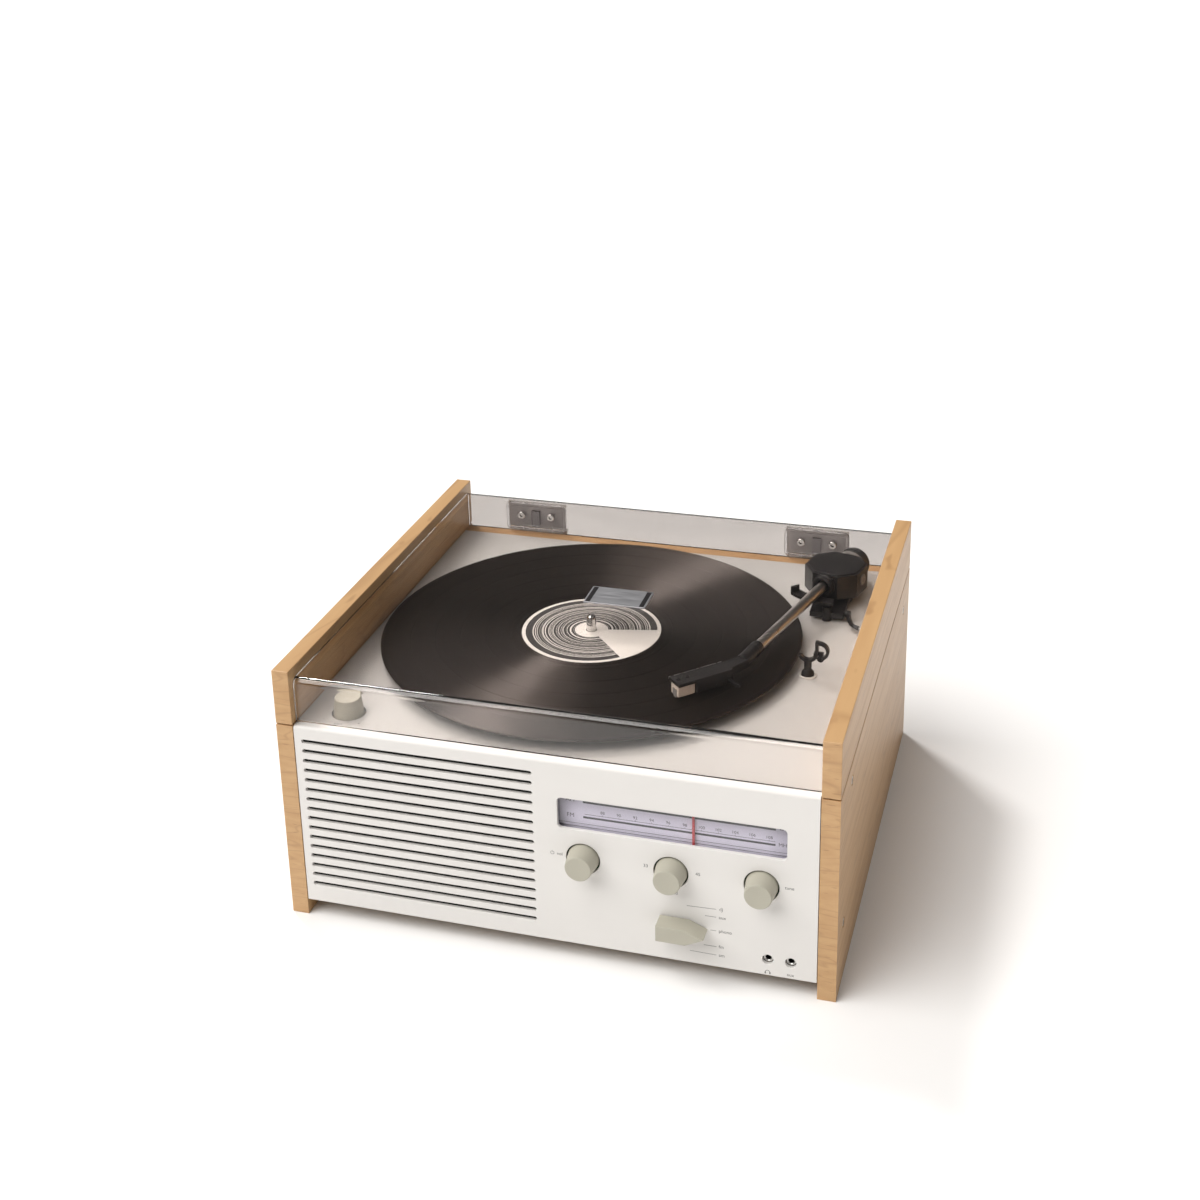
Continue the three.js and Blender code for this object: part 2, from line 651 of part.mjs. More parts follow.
function cueLever() {
  const { x, y, z, radius, length, pin } = leverHub;
  const hub = rodX(radius, x, x + length, y, z, 16);
  const shaft = rodX(pin, 146.8, x + 1, y, z, 12);
  const handle = sweptRod(1.9, [
    [x + 2, y, z], [x + 4, y - 8, z], [x + 8, y - 17, z - 0.4], [x + 12.5, y - 19.5, z - 0.6],
  ], 7, 2);
  return join(hub, shaft, handle);
}

function buildTonearm() {
  add('tonearm_base', tonearmBase(), blackPlastic);
  add('arm_housing', armHousing(), blackPlastic);
  add('arm_tube', armTube(), aluminium);
  add('counterweight', counterweight(), blackPlastic);
  add('headshell', headshell(), blackPlastic);
  add('cartridge', cartridge(), creamPlastic);
  add('lift_platform', liftPlatform(), blackPlastic);
  add('cue_lever', cueLever(), blackPlastic);
}

// ---------------------------------------------------------------- arm rest and its latch

const cradle = { radius: 5, wall: 2.2, half: 1.8, z: 164.4, top: 173, leftHorn: -2.7 };
const latchHub = { x: armRest.x + 9.4, z: 162.5, radius: 2.4, pin: 1, clearance: 0.35 };
const latchLoop = { x: armRest.x + 8.6, z: 168, outer: 6.6, inner: 4.6, tail: 1.6 };

// A post with a U-shaped cradle, low on the left so that the arm can swing out, and the latch's ear.
function armRestPost() {
  const { x, y } = armRest;
  const outer = cradle.radius + cradle.wall;
  const shape = new THREE.Shape();
  shape.moveTo(x + cradle.radius, cradle.top);
  shape.lineTo(x + cradle.radius, cradle.z);
  shape.absarc(x, cradle.z, cradle.radius, 0, cradle.leftHorn, true);
  shape.absarc(x, cradle.z, outer, cradle.leftHorn, 0);
  shape.lineTo(x + outer, cradle.top);
  const across = [y - cradle.half, y + cradle.half];
  const cup = prismY(shape, ...across, 10);
  const post = turned([
    [0, 128], [2.5, 128], [2.5, deckTop + 0.4], [4.6, deckTop + 0.4], [4.2, 149.5], [2.6, 151.5],
    [2.8, 158.6], [0, 158.6],
  ], 20).translate(x, y, 0);
  const ear = block([x + 4, latchHub.x + 1.2], across, [latchHub.z - 2.2, latchHub.z + 2.2]);
  const pin = rodY(latchHub.pin, y - 5.6, y - 1, latchHub.x, latchHub.z, 12);
  return join(cup, post, ear, pin);
}

// A D-shaped finger loop on a small hub.
function restLatch() {
  const { x, z, outer, inner: hollow, tail } = latchLoop;
  const loop = new THREE.Shape();
  loop.absarc(x, z, outer, -Math.PI / 2, Math.PI / 2);
  loop.lineTo(x - tail, z + outer);
  loop.lineTo(x - tail, z + hollow);
  loop.lineTo(x, z + hollow);
  loop.absarc(x, z, hollow, Math.PI / 2, -Math.PI / 2, true);
  const across = [armRest.y - 5.4, armRest.y - 2.1];
  const through = [across[0] - past, across[1] + past];
  const hub = rodY(latchHub.radius, ...across, latchHub.x, latchHub.z, 16);
  const bore = rodY(latchHub.pin + latchHub.clearance, ...through, latchHub.x, latchHub.z, 12);
  return cut(join(prismY(loop, ...across, 10), hub), bore);
}

function buildArmRest() {
  add('arm_rest', armRestPost(), blackPlastic);
  add('rest_latch', restLatch(), blackPlastic);
}

// ---------------------------------------------------------------- rear connections

const terminals = { plateY: [156, 158], z: 65, sockets: { left: -12, right: 12 }, inletX: 34 };

function buildTerminals() {
  const { plateY, z, sockets, inletX } = terminals;
  const { halfWidth, bottom, top } = rearOpening;
  const plate = block([-halfWidth + gap, halfWidth - gap], plateY, [bottom + gap, top - gap]);
  const through = [plateY[0] - past, plateY[1] + past];
  const socketHoles = Object.values(sockets).map((x) => rodY(3.4, ...through, x, z, 20));
  const inletHole = rodY(5.4, ...through, inletX, z, 24);
  add('terminal_plate', cut(plate, ...socketHoles, inletHole), blackPlastic);
  const socket = [
    [0, -6], [3.1, -6], [3.1, 2.3], [5, 2.3], [5, 3.8], [4.1, 3.8], [4.1, 10], [3.5, 10], [1.7, 9.6],
    [1.7, 1], [0, 1],
  ];
  for (const [name, x] of Object.entries(sockets)) {
    add(`speaker_socket_${name}`, turnedBackward(socket, 14, x, plateY[0], z), chrome);
  }
  const inlet = [
    [0, -8], [5.1, -8], [5.1, 2.3], [6.2, 2.3], [6.2, 4], [2.9, 4], [2.9, -5], [1, -5], [1, 3], [0, 3.4],
  ];
  add('power_inlet', turnedBackward(inlet, 18, inletX, plateY[0], z), blackPlastic);
}

// ---------------------------------------------------------------- lid

// One sheet bent down at the front and the back, with the same thickness round its bends.
function lidCover() {
  const { front: near, back: far, bottom, top, sheet, bend } = lid;
  const shape = new THREE.Shape();
  shape.moveTo(near, bottom);
  shape.lineTo(near + sheet, bottom);
  shape.lineTo(near + sheet, top - bend);
  shape.absarc(near + bend, top - bend, bend - sheet, Math.PI, Math.PI / 2, true);
  shape.lineTo(far - bend, top - sheet);
  shape.absarc(far - bend, top - bend, bend - sheet, Math.PI / 2, 0, true);
  shape.lineTo(far - sheet, bottom);
  shape.lineTo(far, bottom);
  shape.lineTo(far, top - bend);
  shape.absarc(far - bend, top - bend, bend, 0, Math.PI / 2);
  shape.lineTo(near + bend, top);
  shape.absarc(near + bend, top - bend, bend, Math.PI / 2, Math.PI);
  return prismX(shape, -fitHalf, fitHalf, 6);
}

function cheekShape() {
  const bottom = panelTop + lidGap;
  const r = 3;
  const shape = new THREE.Shape();
  shape.moveTo(front, bottom);
  shape.lineTo(back - r, bottom);
  shape.absarc(back - r, bottom + r, r, -Math.PI / 2, 0);
  shape.lineTo(back, totalHeight);
  shape.lineTo(front, totalHeight);
  return shape;
}

// Four knuckles share the axis: the lid's leaf has the first and third, the cabinet's the others.
const lidKnuckles = [0, 2];
const cabinetKnuckles = [1, 3];

function knuckleSpan(x, i) {
  const pitch = hinge.width / 4;
  const start = x - hinge.width / 2 + i * pitch;
  return [start + hinge.clearance, start + pitch - hinge.clearance];
}

function knuckles(x, which) {
  return which.map((i) => rodX(hinge.radius, ...knuckleSpan(x, i), hinge.y, hinge.z, 16));
}

function hingeTabs(x, which, y, z) {
  return which.map((i) => block(knuckleSpan(x, i), y, z));
}

function buildHinge(name, x) {
  const leafHalf = hinge.width / 2 - hinge.clearance;
  const ends = [x - leafHalf, x + leafHalf];
  const lidLeafY = [lid.back + gap, lid.back + gap + hinge.leaf];
  const lidLeaf = block(ends, lidLeafY, [152, 173]);
  const lidTabs = hingeTabs(x, lidKnuckles, lidLeafY, [hinge.z, 152.5]);
  const pinBore = rodX(hinge.pin + gap + 0.05, ends[0] - past, ends[1] + past, hinge.y, hinge.z, 16);
  const lidHalf = cut(join(lidLeaf, ...lidTabs, ...knuckles(x, lidKnuckles)), pinBore);
  const rearFace = rearFront + board + gap;
  const baseLeafY = [rearFace, rearFace + hinge.leaf];
  const baseLeaf = block(ends, baseLeafY, [124, 146.4]);
  const baseTabs = hingeTabs(x, cabinetKnuckles, baseLeafY, [146, hinge.z]);
  const pin = rodX(hinge.pin, ends[0] + 0.2, ends[1] - 0.2, hinge.y, hinge.z, 16);
  const cabinetHalf = join(baseLeaf, ...baseTabs, ...knuckles(x, cabinetKnuckles), pin);
  add(`lid_hinge_leaf_${name}`, lidHalf, steel);
  add(`cabinet_hinge_leaf_${name}`, cabinetHalf, steel);
}

function buildLid() {
  add('lid_cover', lidCover(), smokedAcrylic);
  add('lid_cheek_left', prismX(cheekShape(), -half, -inner, 5), maple);
  add('lid_cheek_right', prismX(cheekShape(), inner, half, 5), maple);
  buildHinge('left', -hinge.x);
  buildHinge('right', hinge.x);
  const badge = roundedRectangle(-22.6, 22.9, -12.2, 13.8, 1);
  const badgeThickness = 1;
  add('lid_badge', prismZ(badge, lid.top + gap, lid.top + gap + badgeThickness, 3), aluminium);
}

buildBoards();
buildShell();
buildDial();
buildControls();
buildSpeaker();
buildDrive();
buildTonearm();
buildArmRest();
buildTerminals();
buildLid();

// The selector knob stands out in front, so the cabinet sits a little behind the middle.
const assembly = new THREE.Group();
object.position.y = (selectorReach - 0.3) / 2;
assembly.add(object);

export default assembly;
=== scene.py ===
"""Looks for a tabletop radio phonograph console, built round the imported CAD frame.

Shapes are made in millimetres in the row frame and scaled to metres as each piece is finished.
"""

import json
import math

import bmesh
import bpy
from mathutils import Matrix, Vector
from mathutils.geometry import tessellate_polygon


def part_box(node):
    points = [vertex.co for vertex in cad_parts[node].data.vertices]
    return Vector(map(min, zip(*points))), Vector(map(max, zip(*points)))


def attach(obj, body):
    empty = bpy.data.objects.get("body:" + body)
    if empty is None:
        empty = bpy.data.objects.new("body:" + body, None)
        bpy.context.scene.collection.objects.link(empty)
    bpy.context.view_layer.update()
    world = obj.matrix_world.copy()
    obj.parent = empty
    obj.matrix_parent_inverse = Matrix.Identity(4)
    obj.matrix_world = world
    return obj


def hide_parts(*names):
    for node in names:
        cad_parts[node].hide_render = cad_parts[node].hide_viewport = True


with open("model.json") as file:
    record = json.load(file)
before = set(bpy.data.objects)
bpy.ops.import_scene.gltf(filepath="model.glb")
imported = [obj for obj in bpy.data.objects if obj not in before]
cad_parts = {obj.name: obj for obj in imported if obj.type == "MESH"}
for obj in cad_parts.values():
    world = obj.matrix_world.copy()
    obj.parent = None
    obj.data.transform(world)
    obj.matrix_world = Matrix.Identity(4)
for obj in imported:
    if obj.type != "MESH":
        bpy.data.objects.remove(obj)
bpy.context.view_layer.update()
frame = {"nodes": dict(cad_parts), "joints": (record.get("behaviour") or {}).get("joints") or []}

MM = 0.001
JOINTS = {joint["name"]: joint for joint in frame["joints"]}

# ---------------------------------------------------------------- driving sizes, millimetres

SLOTS = {"count": 16, "left": -170.5, "right": -10.0, "bottom": 25.8, "top": 135.5, "height": 3.0}
WINDOW = {"left": 6.5, "right": 155.5, "bottom": 98.3, "top": 120.6, "corner": 3.0}
SHEET = 2.5                # thickness of the painted front sheet
FOLD = 2.5                 # radius of the fold along its top edge
LIP = 0.3                  # rounding round each hole in a painted sheet
KNOB_HOLE = 11.4           # this and the next ones are radii
SELECTOR_HOLE = 4.0
JACK_HOLE = 3.6
BEARING_HOLE = 8.3
PULLEY_HOLE = 7.0
ARM_HOLE = 7.4
REST_HOLE = 2.8
RECORD_BORE = 3.95
KNOB_BASE = 10.5           # a knob's radius at its foot, and at its face
KNOB_FACE = 8.1
KNOB_SHAFT = 9.2           # length of the shaft below a knob's foot
LID_SHEET = 2.5            # thickness of the lid's clear sheet
ARM_ANGLE = math.radians(14.5)
HEAD_ANGLE = math.radians(45)
HEAD_REAR = (94.3, -57.5)  # rear end of the headshell, in plan
ARM_REST = (141.5, -16.6)  # the arm rest's post, in plan

# ---------------------------------------------------------------- print: X and Z on the front

WORD_SIZE = 3.3
FINE_LINE = 0.28
BOLD_LINE = 1.45
INK_STANDS = 0.015         # its middle above the paint
INK_THICKNESS = 0.02       # each way from its middle
FRONT_WORDS = (
    ("33", 66.4, 79.6, "RIGHT"),
    ("45", 97.2, 79.0, "LEFT"),
    ("speed", 81.8, 62.6, "CENTER"),
    ("tune", 154.4, 78.9, "LEFT"),
    ("vol", 5.4, 78.8, "LEFT"),
    ("aux", 112.3, 49.3, "LEFT"),
    ("phono", 112.3, 39.0, "LEFT"),
    ("fm", 112.3, 27.2, "LEFT"),
    ("am", 112.3, 20.8, "LEFT"),
    ("aux", 158.8, 14.6, "CENTER"),
)
SELECTOR_LINES = (         # from the selector towards its words
    ((91.5, 54.6), (110.6, 55.2)),
    ((103.4, 49.2), (110.6, 49.3)),
    ((106.9, 39.0), (110.7, 39.0)),
    ((102.6, 27.1), (110.9, 27.1)),
    ((93.4, 21.0), (110.7, 20.7)),
)
DIAL_LINES = (             # left, right, height, width
    (22.0, 147.0, 115.7, BOLD_LINE),
    (23.0, 147.0, 106.9, FINE_LINE),
    (22.0, 147.0, 104.6, BOLD_LINE),
    (4.5, 157.5, 99.6, FINE_LINE),
    # The lowest line is not print: it is a painted reflection of the window's bottom edge.
    (4.5, 157.5, 97.4, FINE_LINE),
)
DIAL_NUMBERS = range(88, 110, 2)
DIAL_FIRST, DIAL_LAST = 35.0, 143.0   # where the first and last number stand
DIAL_WORDS = (             # text, size, X, Z
    ("FM", 4.2, 13.5, 105.0),
    ("AM", 4.2, 13.5, 116.6),
    ("MHz", 3.6, 152.3, 105.0),
    ("kHz", 3.6, 152.3, 116.6),
)


def span(node):
    """Lowest and highest corner of a CAD node, in millimetres."""
    low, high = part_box(node)
    return low / MM, high / MM


def middle(node):
    low, high = span(node)
    return (low + high) / 2


def pivot(joint):
    """The point on a joint's axis that the record states, in millimetres."""
    return Vector(JOINTS[joint]["pos_m"]) / MM


# ---------------------------------------------------------------- materials


class Paint:
    """A Principled material and short ways to put procedural nodes in front of it."""

    def __init__(self, name, roughness=0.5, metallic=0.0):
        self.material = bpy.data.materials.new(name)
        self.material.use_nodes = True
        self.tree = self.material.node_tree
        self.shader = self.tree.nodes["Principled BSDF"]
        self.shader.inputs["Roughness"].default_value = roughness
        self.shader.inputs["Metallic"].default_value = metallic
        self.place = self.tree.nodes.new("ShaderNodeTexCoord").outputs["Object"]

    def node(self, kind, **settings):
        made = self.tree.nodes.new(kind)
        for key, value in settings.items():
            setattr(made, key, value)
        return made

    def link(self, source, target):
        self.tree.links.new(source, target)

    def stretched(self, scale, offset=(0, 0, 0)):
        """Object coordinates moved, then scaled by a different number along each axis."""
        moved = self.node("ShaderNodeVectorMath", operation="ADD")
        moved.inputs[1].default_value = offset
        self.link(self.place, moved.inputs[0])
        scaled = self.node("ShaderNodeVectorMath", operation="MULTIPLY")
        scaled.inputs[1].default_value = scale
        self.link(moved.outputs[0], scaled.inputs[0])
        return scaled.outputs[0]

    def noise(self, vector, scale, detail=4.0, distortion=0.0):
        made = self.node("ShaderNodeTexNoise")
        made.inputs["Scale"].default_value = scale
        made.inputs["Detail"].default_value = detail
        made.inputs["Distortion"].default_value = distortion
        self.link(vector, made.inputs["Vector"])
        return made.outputs["Fac"]

    def ramp(self, value, *stops):
        """Colours by value: each stop is (position, (r, g, b))."""
        made = self.node("ShaderNodeValToRGB")
        elements = made.color_ramp.elements
        while len(elements) < len(stops):
            elements.new(0.5)
        for element, (position, colour) in zip(elements, stops):
            element.position = position
            element.color = (*colour, 1)
        self.link(value, made.inputs["Fac"])
        return made.outputs["Color"]

    def math(self, operation, first, second=None):
        made = self.node("ShaderNodeMath", operation=operation)
        for socket, value in zip(made.inputs, (first, second)):
            if isinstance(value, (int, float)):
                socket.default_value = value
            elif value is not None:
                self.link(value, socket)
        return made.outputs[0]

    def mix(self, factor, first, second):
        made = self.node("ShaderNodeMix", data_type="RGBA")
        sockets = (made.inputs[0], made.inputs[6], made.inputs[7])
        for socket, value in zip(sockets, (factor, first, second)):
            if isinstance(value, (int, float)):
                socket.default_value = value
            elif isinstance(value, tuple):
                socket.default_value = (*value, 1)
            else:
                self.link(value, socket)
        return made.outputs[2]

    def between(self, value, low, high):
        """1 where value lies between low and high, and 0 elsewhere."""
        return self.math("MULTIPLY", self.math("GREATER_THAN", value, low),
                         self.math("LESS_THAN", value, high))

    def colour(self, value):
        self.link(value, self.shader.inputs["Base Color"])

    def roughness(self, value, low, high):
        """Roughness that runs from low to high as value goes from 0 to 1."""
        made = self.node("ShaderNodeMapRange")
        made.inputs["To Min"].default_value = low
        made.inputs["To Max"].default_value = high
        self.link(value, made.inputs["Value"])
        self.link(made.outputs[0], self.shader.inputs["Roughness"])

    def bump(self, height, distance, strength=1.0):
        made = self.node("ShaderNodeBump")
        made.inputs["Strength"].default_value = strength
        made.inputs["Distance"].default_value = distance
        self.link(height, made.inputs["Height"])
        self.link(made.outputs[0], self.shader.inputs["Normal"])


def moulded(name, colour, roughness, spread=0.06, grain=900.0, depth=0.00002):
    """Moulded, cast or sprayed stuff: a fine even grain and a slow drift of tone."""
    paint = Paint(name, roughness)
    drift = paint.noise(paint.place, 35.0, 2.0)
    fine = paint.noise(paint.place, grain, 2.0)
    darker = tuple(c * (1 - spread) for c in colour)
    paint.colour(paint.ramp(drift, (0.3, darker), (0.7, colour)))
    paint.roughness(fine, roughness * 0.85, min(1.0, roughness * 1.2))
    paint.bump(fine, depth)
    return paint.material


def wood(name, along, tone=1.0):
    """Pale satin veneer: soft streaks along one axis, thin growth lines and short dark flecks."""
    axis = "XYZ".index(along)
    paint = Paint(name, 0.42)

    def grained(across, upright, run, offset=(0, 0, 0)):
        scale = [across, across, upright]
        scale[axis] = run
        return paint.stretched(tuple(scale), offset)

    light = (0.62 * tone, 0.385 * tone, 0.185 * tone)
    warm = (0.53 * tone, 0.31 * tone, 0.14 * tone)
    dark = (0.33 * tone, 0.17 * tone, 0.07 * tone)
    clouds = paint.noise(grained(9, 9, 2.2), 1.0, 3.0, 0.4)
    streaks = paint.noise(grained(60, 210, 7), 1.0, 5.0, 0.3)
    body = paint.ramp(streaks, (0.32, warm), (0.66, light))
    body = paint.mix(paint.math("MULTIPLY", clouds, 0.35), body, warm)
    growth = paint.noise(grained(7, 42, 2.6, (0.3, 0.1, 0.2)), 1.0, 2.0, 0.8)
    lines = paint.math("PINGPONG", paint.math("MULTIPLY", growth, 9.0), 0.5)
    edge = paint.ramp(lines, (0.0, (0.34, 0.34, 0.34)), (0.10, (0, 0, 0)))
    body = paint.mix(edge, body, dark)
    flecks = paint.noise(grained(90, 620, 30), 1.0, 1.0)
    marks = paint.ramp(flecks, (0.66, (0, 0, 0)), (0.73, (0.5, 0.5, 0.5)))
    body = paint.mix(marks, body, dark)
    paint.colour(body)
    paint.roughness(streaks, 0.50, 0.34)
    paint.bump(streaks, 0.00004, 0.7)
    paint.shader.inputs["Coat Weight"].default_value = 0.12
    paint.shader.inputs["Coat Roughness"].default_value = 0.3
    return paint.material


def fibreboard():
    paint = Paint("raw_fibreboard", 0.85)
    fibres = paint.noise(paint.stretched((260, 260, 700)), 1.0, 4.0)
    paint.colour(paint.ramp(fibres, (0.3, (0.24, 0.16, 0.09)), (0.7, (0.42, 0.31, 0.19))))
    paint.bump(fibres, 0.00015)
    return paint.material


def clear(name, tint, roughness=0.02):
    """Clear plastic that bends what is seen through it and lets lamps through, both tinted."""
    paint = Paint(name, roughness)
    shader = paint.shader
    shader.inputs["Transmission Weight"].default_value = 1.0
    shader.inputs["IOR"].default_value = 1.49
    haze = paint.noise(paint.place, 60.0, 4.0)
    paint.colour(paint.ramp(haze, (0.3, tuple(c * 0.985 for c in tint)), (0.7, tint)))
    paint.roughness(haze, roughness * 0.3, roughness * 1.7)
    through = paint.node("ShaderNodeBsdfTransparent")
    through.inputs["Color"].default_value = (*tint, 1)
    lamps = paint.node("ShaderNodeLightPath").outputs["Is Shadow Ray"]
    mixed = paint.node("ShaderNodeMixShader")
    paint.link(lamps, mixed.inputs[0])
    paint.link(shader.outputs[0], mixed.inputs[1])
    paint.link(through.outputs[0], mixed.inputs[2])
    paint.link(mixed.outputs[0], paint.tree.nodes["Material Output"].inputs["Surface"])
    return paint.material


def brushed(name, colour, roughness, scale):
    """Metal with fine lines: scale is small along the lines and large across them."""
    paint = Paint(name, roughness, 1.0)
    lines = paint.noise(paint.stretched(scale), 1.0, 3.0)
    paint.colour(paint.ramp(lines, (0.25, tuple(c * 0.86 for c in colour)), (0.75, colour)))
    paint.roughness(lines, roughness * 0.75, roughness * 1.3)
    paint.bump(lines, 0.000003, 0.6)
    return paint.material


def radius_from(paint, centre):
    """Distance from a vertical axis, and the angle round it from 0 to 1, both as sockets."""
    apart = paint.node("ShaderNodeSeparateXYZ")
    offset = (-centre.x * MM, -centre.y * MM, 0)
    paint.link(paint.stretched((1, 1, 0), offset), apart.inputs[0])
    x, y = apart.outputs[0], apart.outputs[1]
    squares = paint.math("ADD", paint.math("MULTIPLY", x, x), paint.math("MULTIPLY", y, y))
    turn = paint.math("ADD", paint.math("DIVIDE", paint.math("ARCTAN2", y, x), 2 * math.pi), 0.5)
    return paint.math("SQRT", squares), turn


def rings(paint, radius, scale, detail):
    """Noise that changes only with the radius."""
    joined = paint.node("ShaderNodeCombineXYZ")
    paint.link(paint.math("MULTIPLY", radius, scale), joined.inputs[0])
    return paint.noise(joined.outputs[0], 1.0, detail)


def vinyl(centre):
    """Black pressed vinyl: grooves shine across themselves, in bands of slightly different tone."""
    paint = Paint("grooved_vinyl", 0.3)
    radius, _ = radius_from(paint, centre)
    bands = rings(paint, radius, 260.0, 2.0)
    fine = rings(paint, radius, 2600.0, 3.0)
    paint.colour(paint.ramp(bands, (0.3, (0.004, 0.003, 0.0025)), (0.7, (0.008, 0.006, 0.005))))
    paint.roughness(bands, 0.40, 0.50)
    paint.bump(fine, 0.00002, 0.3)
    paint.shader.inputs["Anisotropic"].default_value = 1.0
    paint.shader.inputs["Specular IOR Level"].default_value = 0.75
    paint.shader.inputs["Specular Tint"].default_value = (1.0, 0.87, 0.80, 1)
    paint.shader.inputs["Anisotropic Rotation"].default_value = 0.25
    tangent = paint.node("ShaderNodeTangent", direction_type="RADIAL", axis="Z")
    paint.link(tangent.outputs[0], paint.shader.inputs["Tangent"])
    return paint.material


def printed_label(centre, outer):
    """White paper with black printed rings of uneven width, and one plain sector."""
    paint = Paint("printed_label_paper", 0.62)
    radius, turn = radius_from(paint, centre)
    thick = rings(paint, radius, 700.0, 1.0)
    thin = rings(paint, radius, 1900.0, 1.0)
    both = paint.math("ADD", thick, paint.math("MULTIPLY", thin, 0.7))
    ink = paint.math("GREATER_THAN", both, 0.79)
    printed = paint.between(paint.math("DIVIDE", radius, outer * MM), 0.24, 0.95)
    outside_sector = paint.math("SUBTRACT", 1.0, paint.between(turn, 0.365, 0.535))
    ink = paint.math("MULTIPLY", paint.math("MULTIPLY", ink, printed), outside_sector)
    drift = paint.noise(paint.place, 300.0)
    paper = paint.ramp(drift, (0.3, (0.80, 0.765, 0.72)), (0.7, (0.86, 0.825, 0.78)))
    paint.colour(paint.mix(ink, paper, (0.018, 0.016, 0.016)))
    paint.bump(paint.noise(paint.place, 1500.0), 0.00002)
    return paint.material


def dial_card():
    """The dial's back card: pale lilac, with painted shade that makes it a little darker towards its
    ends, where the window's sides shade it.
    """
    paint = Paint("dial_card", 0.5)
    low, high = span("dial_plate")
    apart = paint.node("ShaderNodeSeparateXYZ")
    paint.link(paint.place, apart.inputs[0])
    centre, half = (low.x + high.x) / 2 * MM, (high.x - low.x) / 2 * MM
    off_centre = paint.math("ABSOLUTE", paint.math("SUBTRACT", apart.outputs[0], centre))
    share = paint.math("DIVIDE", off_centre, half)
    # Painted shade: the card darkens over the outer part of each end, where the window's sides shade
    # it.
    tone = paint.ramp(share, (0.78, (0.75, 0.70, 0.80)), (1.0, (0.42, 0.38, 0.47)))
    speckle = paint.noise(paint.place, 900.0)
    speckled = paint.ramp(speckle, (0.3, (0.6, 0.58, 0.64)), (0.7, (1, 1, 1)))
    paint.colour(paint.mix(0.06, tone, speckled))
    return paint.material


TURN_CENTRE = pivot("platter_spin")

LOOK = {
    "maple_along_y": wood("maple_along_y", "Y", 0.93),
    "maple_along_x": wood("maple_along_x", "X", 0.86),
    "fibreboard": fibreboard(),
    "white_paint": moulded("white_powder_coat", (0.745, 0.725, 0.70), 0.36, 0.015, 700.0, 0.00003),
    # The deck's paint is the front's white paint made darker, as painted shade for the deck lying under
    # the lid.
    "deck_white_painted_shade": moulded("white_powder_coat_painted_shade", (0.545, 0.54, 0.525), 0.42, 0.015, 700.0, 0.00003),
    "smoked_acrylic": clear("smoked_acrylic", (0.80, 0.775, 0.76), 0.012),
    "clear_plastic": clear("clear_plastic", (0.90, 0.90, 0.92), 0.03),
    "knob_plastic": moulded("knob_grey_green", (0.44, 0.42, 0.345), 0.48, 0.05, 1100.0, 0.00004),
    "black_plastic": moulded("satin_black_plastic", (0.016, 0.0145, 0.015), 0.34, 0.25, 800.0, 0.00003),
    # Near-black for the screen behind the slots and for the cone; on the screen it is partly painted
    # shade for the dark inside of the cabinet.
    "dark_screen": moulded("dark_speaker_screen", (0.006, 0.006, 0.006), 0.9, 0.2, 1500.0, 0.0002),
    "vinyl": vinyl(TURN_CENTRE),
    "aluminium": brushed("brushed_aluminium", (0.74, 0.72, 0.70), 0.28, (500, 60, 500)),
    "turned_aluminium": brushed("turned_aluminium", (0.62, 0.62, 0.63), 0.32, (60, 60, 900)),
    "arm_aluminium": brushed("satin_arm_tube", (0.60, 0.57, 0.54), 0.30, (300, 12, 300)),
    "chrome": brushed("polished_chrome", (0.78, 0.77, 0.76), 0.09, (60, 60, 1500)),
    "badge_metal": brushed("badge_metal", (0.50, 0.50, 0.52), 0.42, (60, 700, 700)),
    "hinge_metal": moulded("hinge_grey", (0.80, 0.79, 0.77), 0.35, 0.1),
    "steel": brushed("zinc_plated_steel", (0.60, 0.59, 0.57), 0.32, (400, 90, 400)),
    "label": printed_label(TURN_CENTRE, 50.0),
    "white_washer": moulded("white_nylon", (0.70, 0.68, 0.64), 0.45),
    "ink": moulded("printed_ink", (0.10, 0.095, 0.095), 0.6),
    "black_ink": moulded("dial_ink", (0.022, 0.018, 0.022), 0.5),
    "dial_card": dial_card(),
    "red_plastic": moulded("pointer_red", (0.50, 0.012, 0.018), 0.35, 0.08),
    "cream_plastic": moulded("cartridge_cream", (0.74, 0.64, 0.55), 0.38, 0.05),
    "grey_plastic": moulded("mid_grey_plastic", (0.20, 0.19, 0.18), 0.32, 0.08),
    "circuit_board": moulded("green_solder_mask", (0.02, 0.13, 0.05), 0.35, 0.2, 200.0),
    "rubber": moulded("ground_rubber", (0.02, 0.02, 0.02), 0.8, 0.2, 500.0, 0.0001),
}

SLOT_OF = {  # the record's slot for each look whose name isn't a slot's own
    "deck_white_painted_shade": "white_paint",
    "ink": "white_paint",
    "dark_screen": "black_plastic",
    "grey_plastic": "black_plastic",
    "black_ink": "dial_print",
    "label": "paper",
    "arm_aluminium": "aluminium",
    "badge_metal": "aluminium",
    "white_washer": "cream_plastic",
}

# ---------------------------------------------------------------- mesh helpers


def arc(centre, radius, start, end, steps):
    """Points on a circle in a plane, from one angle to another, in degrees, both ends included."""
    turns = (math.radians(start + (end - start) * i / steps) for i in range(steps + 1))
    return [(centre[0] + radius * math.cos(a), centre[1] + radius * math.sin(a)) for a in turns]


def rounded(low, high, corner, grow=0.0, steps=6):
    """A rounded rectangle's outline from its lowest and highest corner, grown outwards."""
    u0, v0, u1, v1 = low[0] - grow, low[1] - grow, high[0] + grow, high[1] + grow
    r = corner + grow
    points = []
    for centre, start in (((u1 - r, v0 + r), -90), ((u1 - r, v1 - r), 0), ((u0 + r, v1 - r), 90),
                          ((u0 + r, v0 + r), 180)):
        points += arc(centre, r, start, start + 90, steps)
    return points


def hole(x, y, radius):
    """A round hole as a square with fully rounded corners, so that it can grow as the others do."""
    return ((x - radius, y - radius), (x + radius, y + radius), radius, 12)


